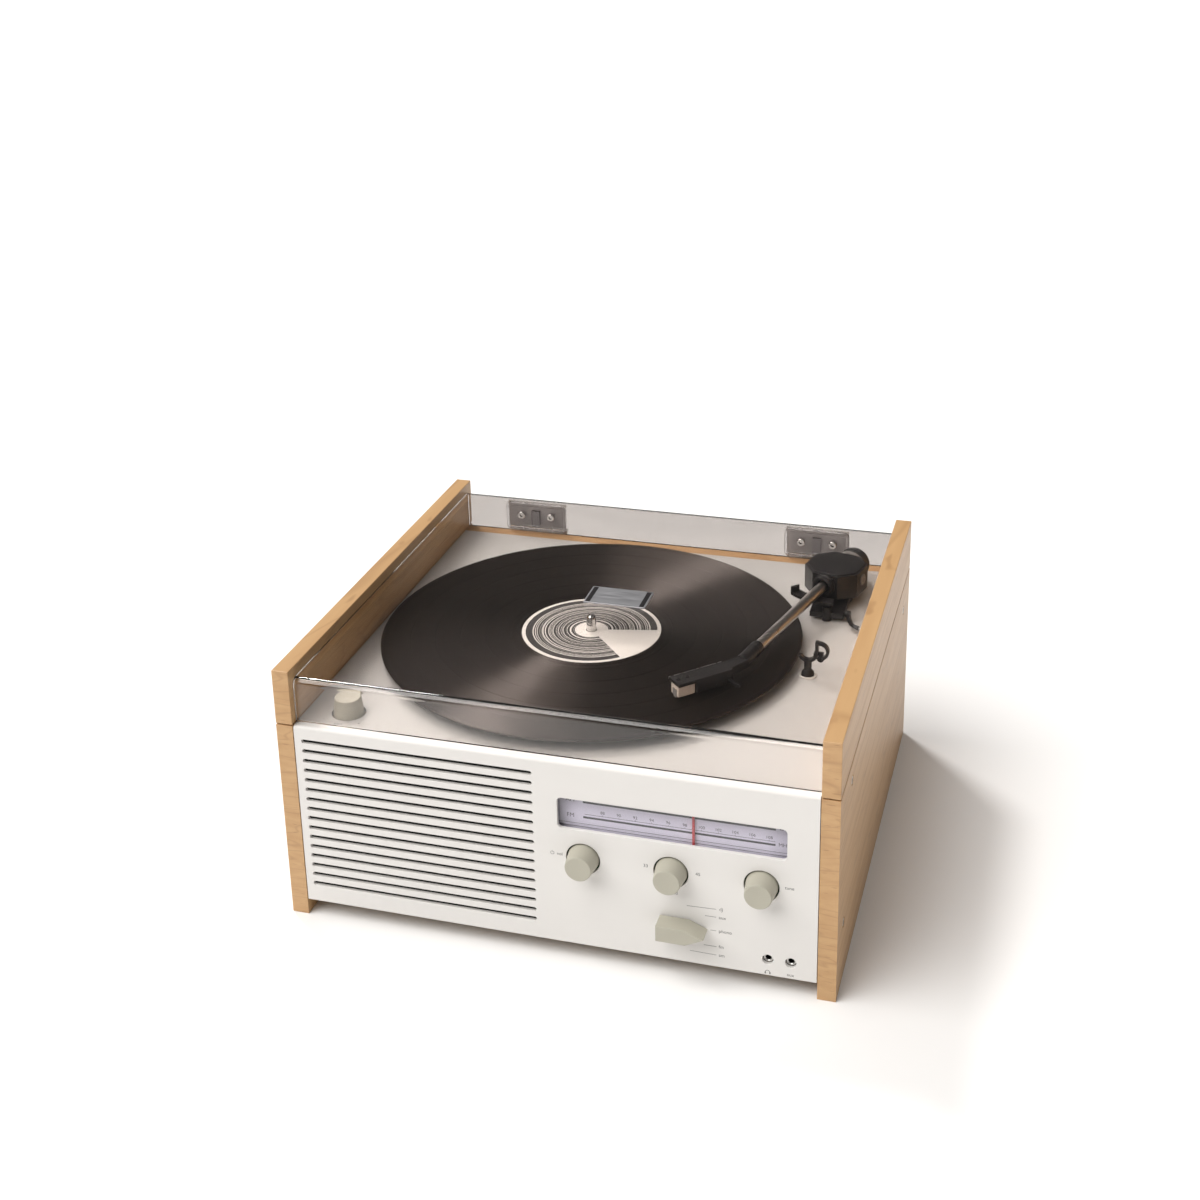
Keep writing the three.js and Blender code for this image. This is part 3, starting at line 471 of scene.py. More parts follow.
def box_hole(x0, y0, x1, y1, corner):
    return ((x0, y0), (x1, y1), corner, 6)


def grown(opening, grow):
    low, high, corner, steps = opening
    return rounded(low, high, corner, grow, steps)


def ring(bm, points, w):
    return [bm.verts.new((u, v, w)) for u, v in points]


def walls(bm, first, second, skip=()):
    count = len(first)
    for i in range(count):
        if i not in skip:
            j = (i + 1) % count
            bm.faces.new((first[i], first[j], second[j], second[i]))


def cap(bm, *loops):
    """Closes an outer loop, less the loops inside it, with triangles."""
    verts = [v for loop in loops for v in loop]
    for corners in tessellate_polygon([[v.co for v in loop] for loop in loops]):
        chosen = [verts[i] for i in corners]
        if len(set(chosen)) == 3:
            bm.faces.new(chosen)


def holed_sheet(outer, openings, depth, lip, open_top=False):
    """A flat sheet with a rounded lip round each opening. Its front and back loops are returned too."""
    bm = bmesh.new()
    face = ring(bm, outer, 0.0)
    back = ring(bm, outer, depth)
    face_loops, back_loops = [face], [back]
    walls(bm, face, back, skip=(2,) if open_top else ())
    lip_steps = 3
    for opening in openings:
        loops = []
        for step in range(lip_steps + 1):
            angle = math.pi / 2 * step / lip_steps
            spread, sunk = lip * (1 - math.sin(angle)), lip * (1 - math.cos(angle))
            loops.append(ring(bm, grown(opening, spread), sunk))
        loops.append(ring(bm, grown(opening, 0.0), depth))
        for first, second in zip(loops, loops[1:]):
            walls(bm, first, second)
        face_loops.append(loops[0])
        back_loops.append(loops[-1])
    cap(bm, *face_loops)
    cap(bm, *back_loops)
    return bm, face, back


def lathe(profile, segments, closed=False):
    """Radius and height pairs turned about Z. A profile that starts and ends on the axis is solid."""
    bm = bmesh.new()
    turns = [(math.cos(2 * math.pi * i / segments), math.sin(2 * math.pi * i / segments))
             for i in range(segments)]
    loops = []
    for radius, height in profile:
        if radius < 1e-6:
            loops.append([bm.verts.new((0, 0, height))])
        else:
            loops.append([bm.verts.new((radius * u, radius * v, height)) for u, v in turns])
    pairs = list(zip(loops, loops[1:]))
    if closed:
        pairs.append((loops[-1], loops[0]))
    for first, second in pairs:
        for i in range(segments):
            j = (i + 1) % segments
            if len(first) == 1:
                bm.faces.new((first[0], second[i], second[j]))
            elif len(second) == 1:
                bm.faces.new((first[i], first[j], second[0]))
            else:
                bm.faces.new((first[i], first[j], second[j], second[i]))
    return bm


def prism(points, low, high):
    """An outline in X and Y, drawn up from low to high along Z."""
    bm = bmesh.new()
    first = ring(bm, points, low)
    second = ring(bm, points, high)
    walls(bm, first, second)
    cap(bm, first)
    cap(bm, second)
    return bm


def block(low, high):
    (x0, y0, z0), (x1, y1, z1) = low, high
    return prism([(x0, y0), (x1, y0), (x1, y1), (x0, y1)], z0, z1)


def tube(points, radius):
    """A round rod along a polyline with closed flat ends."""
    sides = 12
    bm = bmesh.new()
    path = [Vector(p) for p in points]
    loops = []
    guide = Vector((0, 0, 1))
    for i, place in enumerate(path):
        ahead = (path[min(i + 1, len(path) - 1)] - path[max(i - 1, 0)]).normalized()
        side = ahead.cross(guide)
        side = side.normalized() if side.length > 1e-3 else Vector((1, 0, 0))
        up = side.cross(ahead).normalized()
        angles = (2 * math.pi * k / sides for k in range(sides))
        outwards = (side * math.cos(a) + up * math.sin(a) for a in angles)
        loops.append([bm.verts.new(place + way * radius) for way in outwards])
    for first, second in zip(loops, loops[1:]):
        walls(bm, first, second)
    bm.faces.new(loops[0])
    bm.faces.new(loops[-1])
    return bm


def smooth_path(points):
    """A curve through the points (Catmull-Rom)."""
    steps = 5
    ends = [points[0], *points, points[-1]]
    found = []
    for i in range(1, len(ends) - 2):
        a, b, c, d = (Vector(p) for p in ends[i - 1:i + 3])
        for k in range(steps):
            t = k / steps
            found.append(0.5 * (2 * b + (c - a) * t + (2 * a - 5 * b + 4 * c - d) * t * t
                                + (3 * b - a - 3 * c + d) * t ** 3))
    return [*found, Vector(points[-1])]


def merged(*meshes):
    """Several meshes in one."""
    whole = bmesh.new()
    for bm in meshes:
        holder = bpy.data.meshes.new("part")
        bm.to_mesh(holder)
        bm.free()
        whole.from_mesh(holder)
        bpy.data.meshes.remove(holder)
    return whole


def placed(bm, matrix):
    bmesh.ops.transform(bm, matrix=matrix, verts=bm.verts)
    return bm


def moved(x, y, z):
    return Matrix.Translation((x, y, z))


def rotated(degrees, axis):
    return Matrix.Rotation(math.radians(degrees), 4, axis)


FRONT = rotated(90, "X")              # up becomes forward: (x, y, z) goes to (x, -z, y)
REAR = rotated(-90, "X")              # up becomes backward
SIDEWAYS = Matrix(((0, 0, 1, 0), (1, 0, 0, 0), (0, 1, 0, 0), (0, 0, 0, 1)))  # (y, z, x) outlines


def islands(bm):
    """The faces of each separate closed shell."""
    left = set(bm.faces)
    while left:
        start = left.pop()
        shell, edge_of_shell = [start], [start]
        while edge_of_shell:
            face = edge_of_shell.pop()
            for edge in face.edges:
                for other in edge.link_faces:
                    if other in left:
                        left.remove(other)
                        shell.append(other)
                        edge_of_shell.append(other)
        yield shell


def face_outwards(bm):
    """Turns every face outwards: a shell whose signed volume is negative is inside out."""
    bmesh.ops.recalc_face_normals(bm, faces=bm.faces)
    for shell in list(islands(bm)):
        volume = sum(face.calc_center_median().dot(face.normal) * face.calc_area() for face in shell)
        if volume < 0:
            bmesh.ops.reverse_faces(bm, faces=shell)


def soften(bm, width, segments=2, angle=40):
    """Rounds the sharp edges."""
    bmesh.ops.remove_doubles(bm, verts=bm.verts, dist=1e-4)
    face_outwards(bm)
    bmesh.ops.dissolve_limit(bm, angle_limit=math.radians(0.5), verts=bm.verts, edges=bm.edges)
    limit = math.radians(angle)
    sharp = [e for e in bm.edges if len(e.link_faces) == 2 and e.calc_face_angle(0) > limit]
    bmesh.ops.bevel(bm, geom=sharp, offset=width, segments=segments, profile=0.6, affect="EDGES",
                    clamp_overlap=True)
    return bm


def even_normals(piece):
    """Flat faces stay flat beside rounded edges."""
    piece.modifiers.new("even_normals", "WEIGHTED_NORMAL").keep_sharp = True


def object_from(name, bm, material):
    """An object in the scene, in metres, from a mesh in millimetres."""
    face_outwards(bm)
    bmesh.ops.scale(bm, vec=(MM, MM, MM), verts=bm.verts)
    mesh = bpy.data.meshes.new(name)
    bm.to_mesh(mesh)
    bm.free()
    mesh.materials.append(material)
    made = bpy.data.objects.new(name, mesh)
    bpy.context.scene.collection.objects.link(made)
    return made


def finish_piece(name, bm, body, look, stands_for=(), smooth=35):
    """Makes a visible piece from a mesh and ties it to the frame."""
    bmesh.ops.remove_doubles(bm, verts=bm.verts, dist=1e-4)
    piece = object_from(name, bm, LOOK[look])
    piece.data.polygons.foreach_set("use_smooth", [True] * len(piece.data.polygons))
    piece.data.set_sharp_from_angle(angle=math.radians(smooth))
    even_normals(piece)
    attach(piece, body)
    SLOT_OF.get(look, look)
    if stands_for:
        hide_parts(*stands_for)


def turned(name, profile, place, body, look, stands_for=(), segments=64, smooth=35):
    """A turned piece: a profile that starts away from the axis is a ring, closed on itself."""
    bm = lathe(profile, segments, closed=profile[0][0] > 0)
    finish_piece(name, placed(bm, place), body, look, stands_for, smooth)


def keep(node, look, bevel=0.0, smooth=35):
    """A CAD node that stays: its flat faces are made whole, its edges rounded, and it gets a finish."""
    piece = frame["nodes"][node]
    piece.data.materials.clear()
    piece.data.materials.append(LOOK[look])
    if "custom_normal" in piece.data.attributes:
        piece.data.attributes.remove(piece.data.attributes["custom_normal"])
    piece.data.polygons.foreach_set("use_smooth", [True] * len(piece.data.polygons))
    weld = piece.modifiers.new("weld", "WELD")
    weld.merge_threshold = 0.01 * MM
    if bevel:
        flat = piece.modifiers.new("whole_faces", "DECIMATE")
        flat.decimate_type = "DISSOLVE"
        flat.angle_limit = math.radians(1)
        edges = piece.modifiers.new("rounded_edges", "BEVEL")
        edges.width = bevel * MM
        edges.segments = 2
        edges.limit_method = "ANGLE"
        edges.angle_limit = math.radians(smooth)
    even_normals(piece)


def lettering(text, size, matrix, align):
    """Raised print as a thin mesh, its face towards +Z before matrix places it."""
    curve = bpy.data.curves.new("text", "FONT")
    curve.body = text
    curve.size = size
    curve.extrude = INK_THICKNESS
    curve.align_x = align
    curve.align_y = "CENTER"
    curve.resolution_u = 3
    holder = bpy.data.objects.new("text", curve)
    bpy.context.scene.collection.objects.link(holder)
    bpy.context.view_layer.update()
    bm = bmesh.new()
    bm.from_mesh(holder.to_mesh())
    bpy.data.objects.remove(holder)
    bpy.data.curves.remove(curve)
    return placed(bm, matrix)


def stroke(points, width):
    """A printed line through points in X and Y, as a thin strip."""
    half, thick = width / 2, INK_THICKNESS
    strips = []
    for (x0, y0), (x1, y1) in zip(points, points[1:]):
        length = math.hypot(x1 - x0, y1 - y0)
        turn = Matrix.Rotation(math.atan2(y1 - y0, x1 - x0), 4, "Z")
        strip = block((0, -half, -thick), (length, half, thick))
        strips.append(placed(strip, moved(x0, y0, 0) @ turn))
    return merged(*strips)


# ---------------------------------------------------------------- boards and shell


def build_boards():
    for side in ("left", "right"):
        keep(f"side_panel_{side}", "maple_along_y", 0.6)
        keep(f"lid_cheek_{side}", "maple_along_y", 0.6)
    keep("rear_panel", "maple_along_x", 0.5)
    keep("bottom_board", "fibreboard", 0.3)


def hex_screw(radius, height, socket):
    """A pan head with a hexagon socket, standing on Z 0."""
    segments = 48
    profile = [(radius, 0.0), (radius, height * 0.45), (radius * 0.93, height * 0.8),
               (radius * 0.8, height), (socket * 1.25, height)]
    bm = lathe(profile, segments)
    bm.verts.ensure_lookup_table()
    foot, rim = bm.verts[:segments], bm.verts[-segments:]

    def hexagon(z):
        found = []
        for i in range(segments):
            turn = 2 * math.pi * i / segments
            fold = (turn % (math.pi / 3)) - math.pi / 6
            reach = socket * math.cos(math.pi / 6) / math.cos(fold)
            found.append(bm.verts.new((reach * math.cos(turn), reach * math.sin(turn), z)))
        return found

    top, floor = hexagon(height), hexagon(height * 0.3)
    walls(bm, list(rim), top)
    walls(bm, top, floor)
    bm.faces.new(floor)
    bm.faces.new(list(foot))
    return bm


def build_side_screws():
    head = 1.5
    shank = [(0, -9.6), (1.6, -9.6), (2.0, -9.0), (2.0, 0.1), (0, 0.1)]
    for side, sign in (("left", -1), ("right", 1)):
        for spot in ("front_top", "front_low", "back_top"):
            node = f"side_screw_{side}_{spot}"
            low, high = span(node)
            centre = middle(node)
            radius = (high.z - low.z) / 2
            outer = high.x if sign > 0 else low.x
            whole = merged(hex_screw(radius, head, radius * 0.5), lathe(shank, 24))
            facing = moved(outer - sign * head, centre.y, centre.z) @ rotated(90 * sign, "Y")
            finish_piece(f"{node}_head", placed(whole, facing), "cabinet", "steel", [node])


def knob_places():
    return {name: pivot(f"{name}_turn") for name in ("volume", "speed", "tuning")}


def build_fascia():
    low, high = span("front_fascia")
    fold_z = high.z - FOLD
    openings = []
    pitch = (SLOTS["top"] - SLOTS["bottom"]) / (SLOTS["count"] - 1)
    half = SLOTS["height"] / 2
    for i in range(SLOTS["count"]):
        z = SLOTS["bottom"] + i * pitch
        openings.append(box_hole(SLOTS["left"], z - half, SLOTS["right"], z + half, half - 0.01))
    window = [WINDOW[edge] for edge in ("left", "bottom", "right", "top", "corner")]
    openings.append(box_hole(*window))
    openings += [hole(place.x, place.z, KNOB_HOLE) for place in knob_places().values()]
    selector = pivot("selector_turn")
    openings.append(hole(selector.x, selector.z, SELECTOR_HOLE))
    for jack in ("headphone_jack", "aux_jack"):
        openings.append(hole(middle(jack).x, middle(jack).z, JACK_HOLE))
    outer = [(low.x, low.z), (high.x, low.z), (high.x, fold_z), (low.x, fold_z)]
    bm, face, back = holed_sheet(outer, openings, SHEET, LIP, open_top=True)

    # the fold along the top, from the sheet's front round to the ledge and back under it
    ledge = high.y - low.y
    edge = [*arc((FOLD, fold_z), FOLD, 180, 90, 12)[1:], (ledge, high.z), (ledge, fold_z)]
    ends = []
    for x, corner_front, corner_back in ((low.x, face[3], back[3]), (high.x, face[2], back[2])):
        chain = [corner_front] + [bm.verts.new((x, v, w)) for w, v in edge] + [corner_back]
        bm.faces.new(chain)
        ends.append(chain)
    for i in range(len(ends[0]) - 1):
        bm.faces.new((ends[0][i], ends[1][i], ends[1][i + 1], ends[0][i + 1]))
    upright = Matrix(((1, 0, 0, 0), (0, 0, 1, low.y), (0, 1, 0, 0), (0, 0, 0, 1)))
    finish_piece("painted_front_sheet", placed(bm, upright), "cabinet", "white_paint", ["front_fascia"],
                 smooth=25)


def build_deck():
    low, high = span("deck_plate")
    holes = (
        (TURN_CENTRE, BEARING_HOLE),
        (pivot("pulley_spin"), PULLEY_HOLE),
        (pivot("pitch_turn"), KNOB_HOLE),
        (pivot("arm_swing"), ARM_HOLE),
        (Vector((*ARM_REST, 0)), REST_HOLE),
    )
    openings = [hole(place.x, place.y, radius) for place, radius in holes]
    outer = [(low.x, low.y), (high.x, low.y), (high.x, high.y), (low.x, high.y)]
    bm, _, _ = holed_sheet(outer, openings, high.z - low.z, LIP)
    flat = Matrix(((1, 0, 0, 0), (0, 1, 0, 0), (0, 0, -1, high.z), (0, 0, 0, 1)))
    # The deck's darker copy of the white paint is painted shade.
    finish_piece("painted_deck", placed(bm, flat), "cabinet", "deck_white_painted_shade", ["deck_plate"], smooth=25)


def build_screen():
    """The dark screen behind the slots, which hides the loudspeaker. Its near-black also stands in as
    painted shade for the dark inside of the cabinet.
    """
    face = span("front_fascia")[0].y + SHEET
    margin = 2.4
    low = (SLOTS["left"] - margin, face + 0.06, SLOTS["bottom"] - 5)
    high = (SLOTS["right"] + margin, face + 0.24, SLOTS["top"] + 5)
    finish_piece("speaker_screen_painted_shade", block(low, high), "cabinet", "dark_screen")


# ---------------------------------------------------------------- dial


def build_dial():
    keep("dial_plate", "dial_card", 0.1)
    keep("dial_lens", "clear_plastic", 0.1)
    keep("pointer_rail", "steel")
    keep("dial_pointer", "red_plastic", 0.15)
    card = span("dial_plate")[0].y - 0.04
    marks = [stroke([(left, z), (right, z)], width) for left, right, z, width in DIAL_LINES]
    last = len(DIAL_NUMBERS) - 1
    for i, number in enumerate(DIAL_NUMBERS):
        x = DIAL_FIRST + (DIAL_LAST - DIAL_FIRST) * i / last
        marks.append(lettering(str(number), 3.0, moved(x, 109.4, 0), "CENTER"))
        marks.append(stroke([(x, 107.0), (x, 107.9)], 0.22))
    for text, size, x, z in DIAL_WORDS:
        marks.append(lettering(text, size, moved(x, z, 0), "CENTER"))
    printed = placed(merged(*marks), moved(0, card, 0) @ FRONT)
    finish_piece("dial_print", printed, "cabinet", "black_ink")


# ---------------------------------------------------------------- knobs and legends


def knob_profile(height):
    """A gently tapered knob with a rounded rim and a very slightly hollow face, on its shaft."""
    base, face, rim = KNOB_BASE, KNOB_FACE, 0.9
    profile = [(0, -KNOB_SHAFT), (3.0, -KNOB_SHAFT), (3.0, 0.0), (base - 0.4, 0.0), (base, 0.4)]
    profile += arc((face - 0.1, height - rim), rim, 0, 90, 6)
    profile += [(face * 0.7, height - 0.12), (face * 0.35, height - 0.2), (0, height - 0.22)]
    return profile


def build_knobs():
    for name, place in knob_places().items():
        low, high = span(f"{name}_knob")
        back = high.y - KNOB_SHAFT
        turned(f"{name}_knob_cap", knob_profile(back - low.y), moved(place.x, back, place.z) @ FRONT,
               name, "knob_plastic", [f"{name}_knob"], 96)
    low, high = span("pitch_knob")
    place = pivot("pitch_turn")
    foot = low.z + KNOB_SHAFT
    turned("pitch_knob_cap", knob_profile(high.z - foot), moved(place.x, place.y, foot), "pitch",
           "knob_plastic", ["pitch_knob"], 96)


def build_selector():
    low, high = span("selector_knob")
    centre = pivot("selector_turn")
    shoulder, wide = centre.x + 8.5, 5.6
    outline = [(low.x, centre.z - wide), (shoulder, centre.z - wide), (high.x, centre.z + 0.3),
               (shoulder, centre.z + wide), (low.x, centre.z + wide)]
    face_back = span("front_fascia")[0].y - 0.6
    body = soften(prism(outline, 0, face_back - low.y), 0.45, 3)
    depth = high.y - face_back
    shaft = lathe([(0, -depth), (3.0, -depth), (3.0, 0.4), (0, 0.4)], 32)
    whole = merged(placed(body, moved(0, face_back, 0) @ FRONT),
                   placed(shaft, moved(centre.x, face_back, centre.z) @ FRONT))
    finish_piece("selector_arrow", whole, "selector", "knob_plastic", ["selector_knob"])


def circle_stroke(x, y, radius, start, end, width, steps=16):
    return stroke(arc((x, y), radius, start, end, steps), width)


def small_signs():
    """Small printed signs on the front: a volume ring, three radio arcs, a pair of headphones."""
    ring_x, ring_z = 2.4, 79.0
    signs = [circle_stroke(ring_x, ring_z, 1.15, 115, 425, 0.26),
             stroke([(ring_x, ring_z + 0.3), (ring_x, ring_z + 1.6)], 0.26)]
    signs += [circle_stroke(112.2, 55.2, radius, -40, 40, 0.3, 6) for radius in (0.8, 1.7, 2.6)]
    x, z, band = middle("headphone_jack").x, 14.1, 1.5
    signs.append(circle_stroke(x, z, band, 0, 180, 0.3))
    signs += [stroke([(cup, z + 0.2), (cup, z - 1.1)], 0.75) for cup in (x - band, x + band)]
    return signs


def build_legends():
    """Plain printed legends on the front and the deck."""
    marks = [lettering(text, WORD_SIZE, moved(x, z, 0), align) for text, x, z, align in FRONT_WORDS]
    marks += [stroke([start, end], FINE_LINE) for start, end in SELECTOR_LINES]
    marks += small_signs()
    face = span("front_fascia")[0].y - INK_STANDS
    finish_piece("front_legends", placed(merged(*marks), moved(0, face, 0) @ FRONT), "cabinet", "ink")

    deck = span("deck_plate")[1].z + INK_STANDS
    knob = pivot("pitch_turn")
    marks = [lettering("pitch", 3.0, moved(knob.x - 0.5, knob.y - 16.0, 0), "CENTER")]
    sign_y, near, far = knob.y - 12.4, 11.6, 13.5
    marks += [stroke([(knob.x + side * near, sign_y), (knob.x + side * far, sign_y)], FINE_LINE)
              for side in (-1, 1)]
    plus_x = knob.x + (near + far) / 2
    marks.append(stroke([(plus_x, sign_y - 0.9), (plus_x, sign_y + 0.9)], FINE_LINE))
    finish_piece("deck_legends", placed(merged(*marks), moved(0, 0, deck)), "cabinet", "ink")


def build_jacks():
    for node in ("headphone_jack", "aux_jack"):
        low, high = span(node)
        centre = middle(node)
        depth = high.y - low.y
        facing = moved(centre.x, high.y, centre.z) @ FRONT
        sleeve = [(0, 0), (4.3, 0), (4.3, 13.0), (3.3, 13.0), (3.3, depth - 0.9), (2.5, depth - 0.9),
                  (2.5, depth - 1.4), (1.75, depth - 1.4), (1.75, 3.0), (0, 3.0)]
        turned(f"{node}_body", sleeve, facing, "cabinet", "black_plastic", [node], 48)
        collar = [(1.85, depth - 1.2), (2.35, depth - 1.2), (2.45, depth - 0.8), (3.25, depth - 0.8),
                  (3.3, depth - 0.3), (3.0, depth), (2.3, depth), (1.85, depth - 0.4)]
        turned(f"{node}_collar", collar, facing, "cabinet", "steel", segments=48)


# ---------------------------------------------------------------- turntable


def record_profile(base, top, edge):
    """The record's section: raised rim, five grooved bands with gaps between, raised label rim."""
    play = top - 0.3
    profile = [(RECORD_BORE, base), (edge - 1.5, base), (edge, base + 0.6), (edge, top - 0.6),
               (edge - 0.6, top - 0.1), (edge - 1.5, top), (edge - 3.2, top - 0.05), (edge - 4.0, play)]
    inner, bands, ridges = 58.0, 5, 7
    band = (edge - 4.0 - inner) / bands
    for i in range(bands):
        outer_radius = edge - 4.0 - i * band
        inner_radius = outer_radius - band
        for k in range(1, ridges):
            profile.append((outer_radius - band * k / ridges, play - 0.015 * (k % 2)))
        profile += [(inner_radius + 1.0, play), (inner_radius + 0.8, play - 0.12),
                    (inner_radius + 0.2, play - 0.12), (inner_radius, play)]
    profile += [(55.0, play - 0.05), (54.0, play - 0.1), (52.4, top - 0.05), (51.6, top),
                (50.9, top - 0.05), (50.5, play - 0.1), (RECORD_BORE, play - 0.1)]
    return profile


def build_record():
    keep("platter", "turned_aluminium", 0.2)
    place = moved(TURN_CENTRE.x, TURN_CENTRE.y, 0)
    low, high = span("record")
    disc = record_profile(low.z, high.z, (high.x - low.x) / 2)
    turned("vinyl_record", disc, place, "turntable", "vinyl", ["record"], 256, smooth=20)

    low, high = span("record_label")
    radius = (high.x - low.x) / 2
    paper = [(RECORD_BORE, low.z), (radius - 0.1, low.z), (radius, low.z + 0.05),
             (radius - 0.1, high.z), (34.5, high.z), (34.0, high.z - 0.08), (33.5, high.z),
             (4.3, high.z), (RECORD_BORE, high.z - 0.1)]
    turned("printed_label", paper, place, "turntable", "label", ["record_label"], 192)

    low, high = span("spindle")
    radius = 3.6
    dome = arc((0, high.z - radius), radius, 0, 90, 8)
    pin = [(0, low.z), (radius, low.z), *dome[:-1], (0, high.z)]
    turned("spindle_pin", pin, place, "turntable", "chrome", ["spindle"], 48)


def build_drive():
    keep("platter_bearing", "steel", 0.2)
    keep("motor_pulley", "aluminium")
    keep("motor", "steel", 0.4)
    keep("drive_belt", "rubber")


# ---------------------------------------------------------------- tonearm


def arm_place(height):
    """Turns +X into the arm's direction, from its swing axis, at a height."""
    axis = pivot("arm_swing")
    return moved(axis.x, axis.y, height) @ Matrix.Rotation(-math.pi / 2 - ARM_ANGLE, 4, "Z")


def head_place(height):
    """Turns +X into the headshell's direction, from its rear end, at a height."""
    return moved(*HEAD_REAR, height) @ Matrix.Rotation(-math.pi / 2 - HEAD_ANGLE, 4, "Z")


AHEAD = rotated(90, "Y")  # a lathe's height runs along +X


def build_arm_housing():
    keep("arm_housing", "black_plastic", 0.8)
    arm_height = pivot("arm_lift").z
    top = span("arm_housing")[1].z
    reach, side = 19.4, 9.2
    rim = [(-reach, -side), (-side, -reach), (side, -reach), (reach, -side),
           (reach, side), (side, reach), (-side, reach), (-reach, side)]
    plate = soften(prism(rim, top - 0.2, top + 0.9), 0.7, 3)
    finish_piece("housing_cap", placed(plate, arm_place(0)), "arm_carrier", "black_plastic")
    boss = [(5.5, 21.0), (7.9, 21.0), (8.3, 21.5), (8.3, 22.6), (7.9, 23.1), (7.4, 23.3),
            (7.4, 24.6), (7.9, 24.9), (7.9, 26.1), (7.4, 26.6), (5.9, 26.6), (5.5, 26.2)]
    turned("housing_boss", boss, arm_place(arm_height) @ AHEAD, "arm_carrier", "black_plastic")
    screw = [(0, 20.6), (4.2, 20.6), (4.2, 21.6), (3.7, 22.1), (1.6, 22.1), (1.4, 21.7), (0, 21.7)]
    for name, sign in (("left", -1), ("right", 1)):
        facing = arm_place(arm_height) @ rotated(-90 * sign, "X")
        turned(f"pivot_cap_{name}", screw, facing, "arm_carrier", "grey_plastic", segments=40)


def build_arm():
    along = arm_place(pivot("arm_lift").z) @ AHEAD
    rear, front = -37.0, 134.0
    rod = [(0, rear), (3.6, rear), (3.9, rear + 0.3), (3.9, front - 0.3), (3.6, front), (0, front)]
    turned("arm_tube_rod", rod, along, "tonearm", "arm_aluminium", ["arm_tube"])
    build_counterweight(moved(0, 0, -5.0) @ along)
    keep("headshell", "black_plastic", 0.35)
    sleeve = [(4.05, 133.4), (4.75, 133.4), (4.95, 133.7), (4.95, 140.6), (4.7, 140.9), (4.7, 141.6),
              (4.95, 141.9), (4.95, 143.4), (4.8, 143.6), (4.05, 143.6)]
    turned("head_collar", sleeve, along, "tonearm", "black_plastic")
    for i, x in enumerate((31.5, 38.5)):
        screw = placed(hex_screw(1.5, 0.8, 0.7), head_place(169.2) @ moved(x, 0, 0))
        finish_piece(f"head_screw_{i + 1}", screw, "tonearm", "black_plastic")
    # A bright aluminium strip along one top edge of the headshell, as a painted highlight for the light
    # line along that edge.
    edge = soften(block((1.0, -6.75, 168.0), (42.2, -6.35, 169.3)), 0.12, 2)
    finish_piece("head_edge_painted_highlight", placed(edge, head_place(0)), "tonearm", "aluminium")
    bends = [(3.0, 5.5, 162.8), (3.3, 12.0, 162.6), (3.4, 18.0, 163.6), (3.4, 20.5, 165.2)]
    grip = tube(smooth_path(bends), 0.7)
    finish_piece("finger_lift_wire", placed(grip, head_place(0)), "tonearm", "black_plastic")


def build_counterweight(axis):
    """The grooved black weight and the grey dial ring at its front, both round the hanging axis."""
    outer, bore = 12.0, 8.9
    back, ring_back, ring_front = -38.0, -28.6, -24.0
    weight = [(bore, back), (10.6, back), (11.2, back + 0.3), (11.2, back + 2.0), (outer, back + 2.5)]
    for i in range(3):
        groove = back + 3.6 + 1.7 * i
        weight += [(outer, groove), (outer - 0.35, groove + 0.25), (outer - 0.35, groove + 0.6),
                   (outer, groove + 0.85)]
    weight += [(outer, ring_back - 0.3), (outer - 0.3, ring_back), (bore, ring_back)]
    turned("counterweight_body", weight, axis, "tonearm", "black_plastic", ["counterweight"], 96)
    dial = [(bore, ring_back + 0.2), (outer - 0.3, ring_back + 0.2), (outer, ring_back + 0.5),
            (outer, ring_front - 0.4), (outer - 0.4, ring_front), (bore, ring_front)]
    turned("counterweight_ring", dial, axis, "tonearm", "grey_plastic", segments=96)


def build_cartridge():
    here = head_place(0)
    body = soften(block((28.6, -4.6, 158.6), (41.4, 4.6, 166.4)), 0.5, 3)
    chin = soften(block((30.6, -3.4, 157.7), (38.6, 3.4, 159.2)), 0.3, 2)
    finish_piece("cartridge_shell", placed(merged(body, chin), here), "tonearm", "cream_plastic",
                 ["cartridge"])
    window = soften(block((40.9, -2.6, 158.9), (41.75, 2.6, 163.4)), 0.25, 2)
    guard = soften(block((38.4, -1.5, 157.2), (41.6, 1.5, 159.4)), 0.25, 2)
    finish_piece("stylus_holder", placed(merged(window, guard), here), "tonearm", "grey_plastic")
    cantilever = tube([(36.0, 0, 157.9), (39.6, 0, 157.0), (41.0, 0, 156.4)], 0.3)
    tip = lathe([(0, 155.75), (0.12, 155.9), (0.4, 156.5), (0.4, 156.9), (0, 156.9)], 16)
    needle = merged(cantilever, placed(tip, moved(41.0, 0, 0)))
    finish_piece("stylus", placed(needle, here), "tonearm", "chrome")


def build_arm_fittings():
    keep("tonearm_base", "black_plastic", 0.4)
    keep("lift_platform", "black_plastic", 0.25)
    keep("cue_lever", "black_plastic", 0.1)
    keep("arm_rest", "black_plastic", 0.3)
    keep("rest_latch", "black_plastic", 0.25)
    low, high = span("cue_lever")
    tip = [(high.x - 1.2, low.y + 1.9, 150.9), (high.x + 1.2, low.y - 0.4, 150.6),
           (high.x + 3.6, low.y - 1.4, 150.2)]
    finish_piece("lever_wire_tip", tube(smooth_path(tip), 0.8), "cue", "steel")
    deck = span("deck_plate")[1].z
    washer = [(5.0, deck + 0.05), (6.3, deck + 0.05), (6.5, deck + 0.3), (6.2, deck + 0.8),
              (5.0, deck + 0.9)]
    turned("rest_washer", washer, moved(*ARM_REST, 0), "cabinet", "white_washer")


# ---------------------------------------------------------------- lid


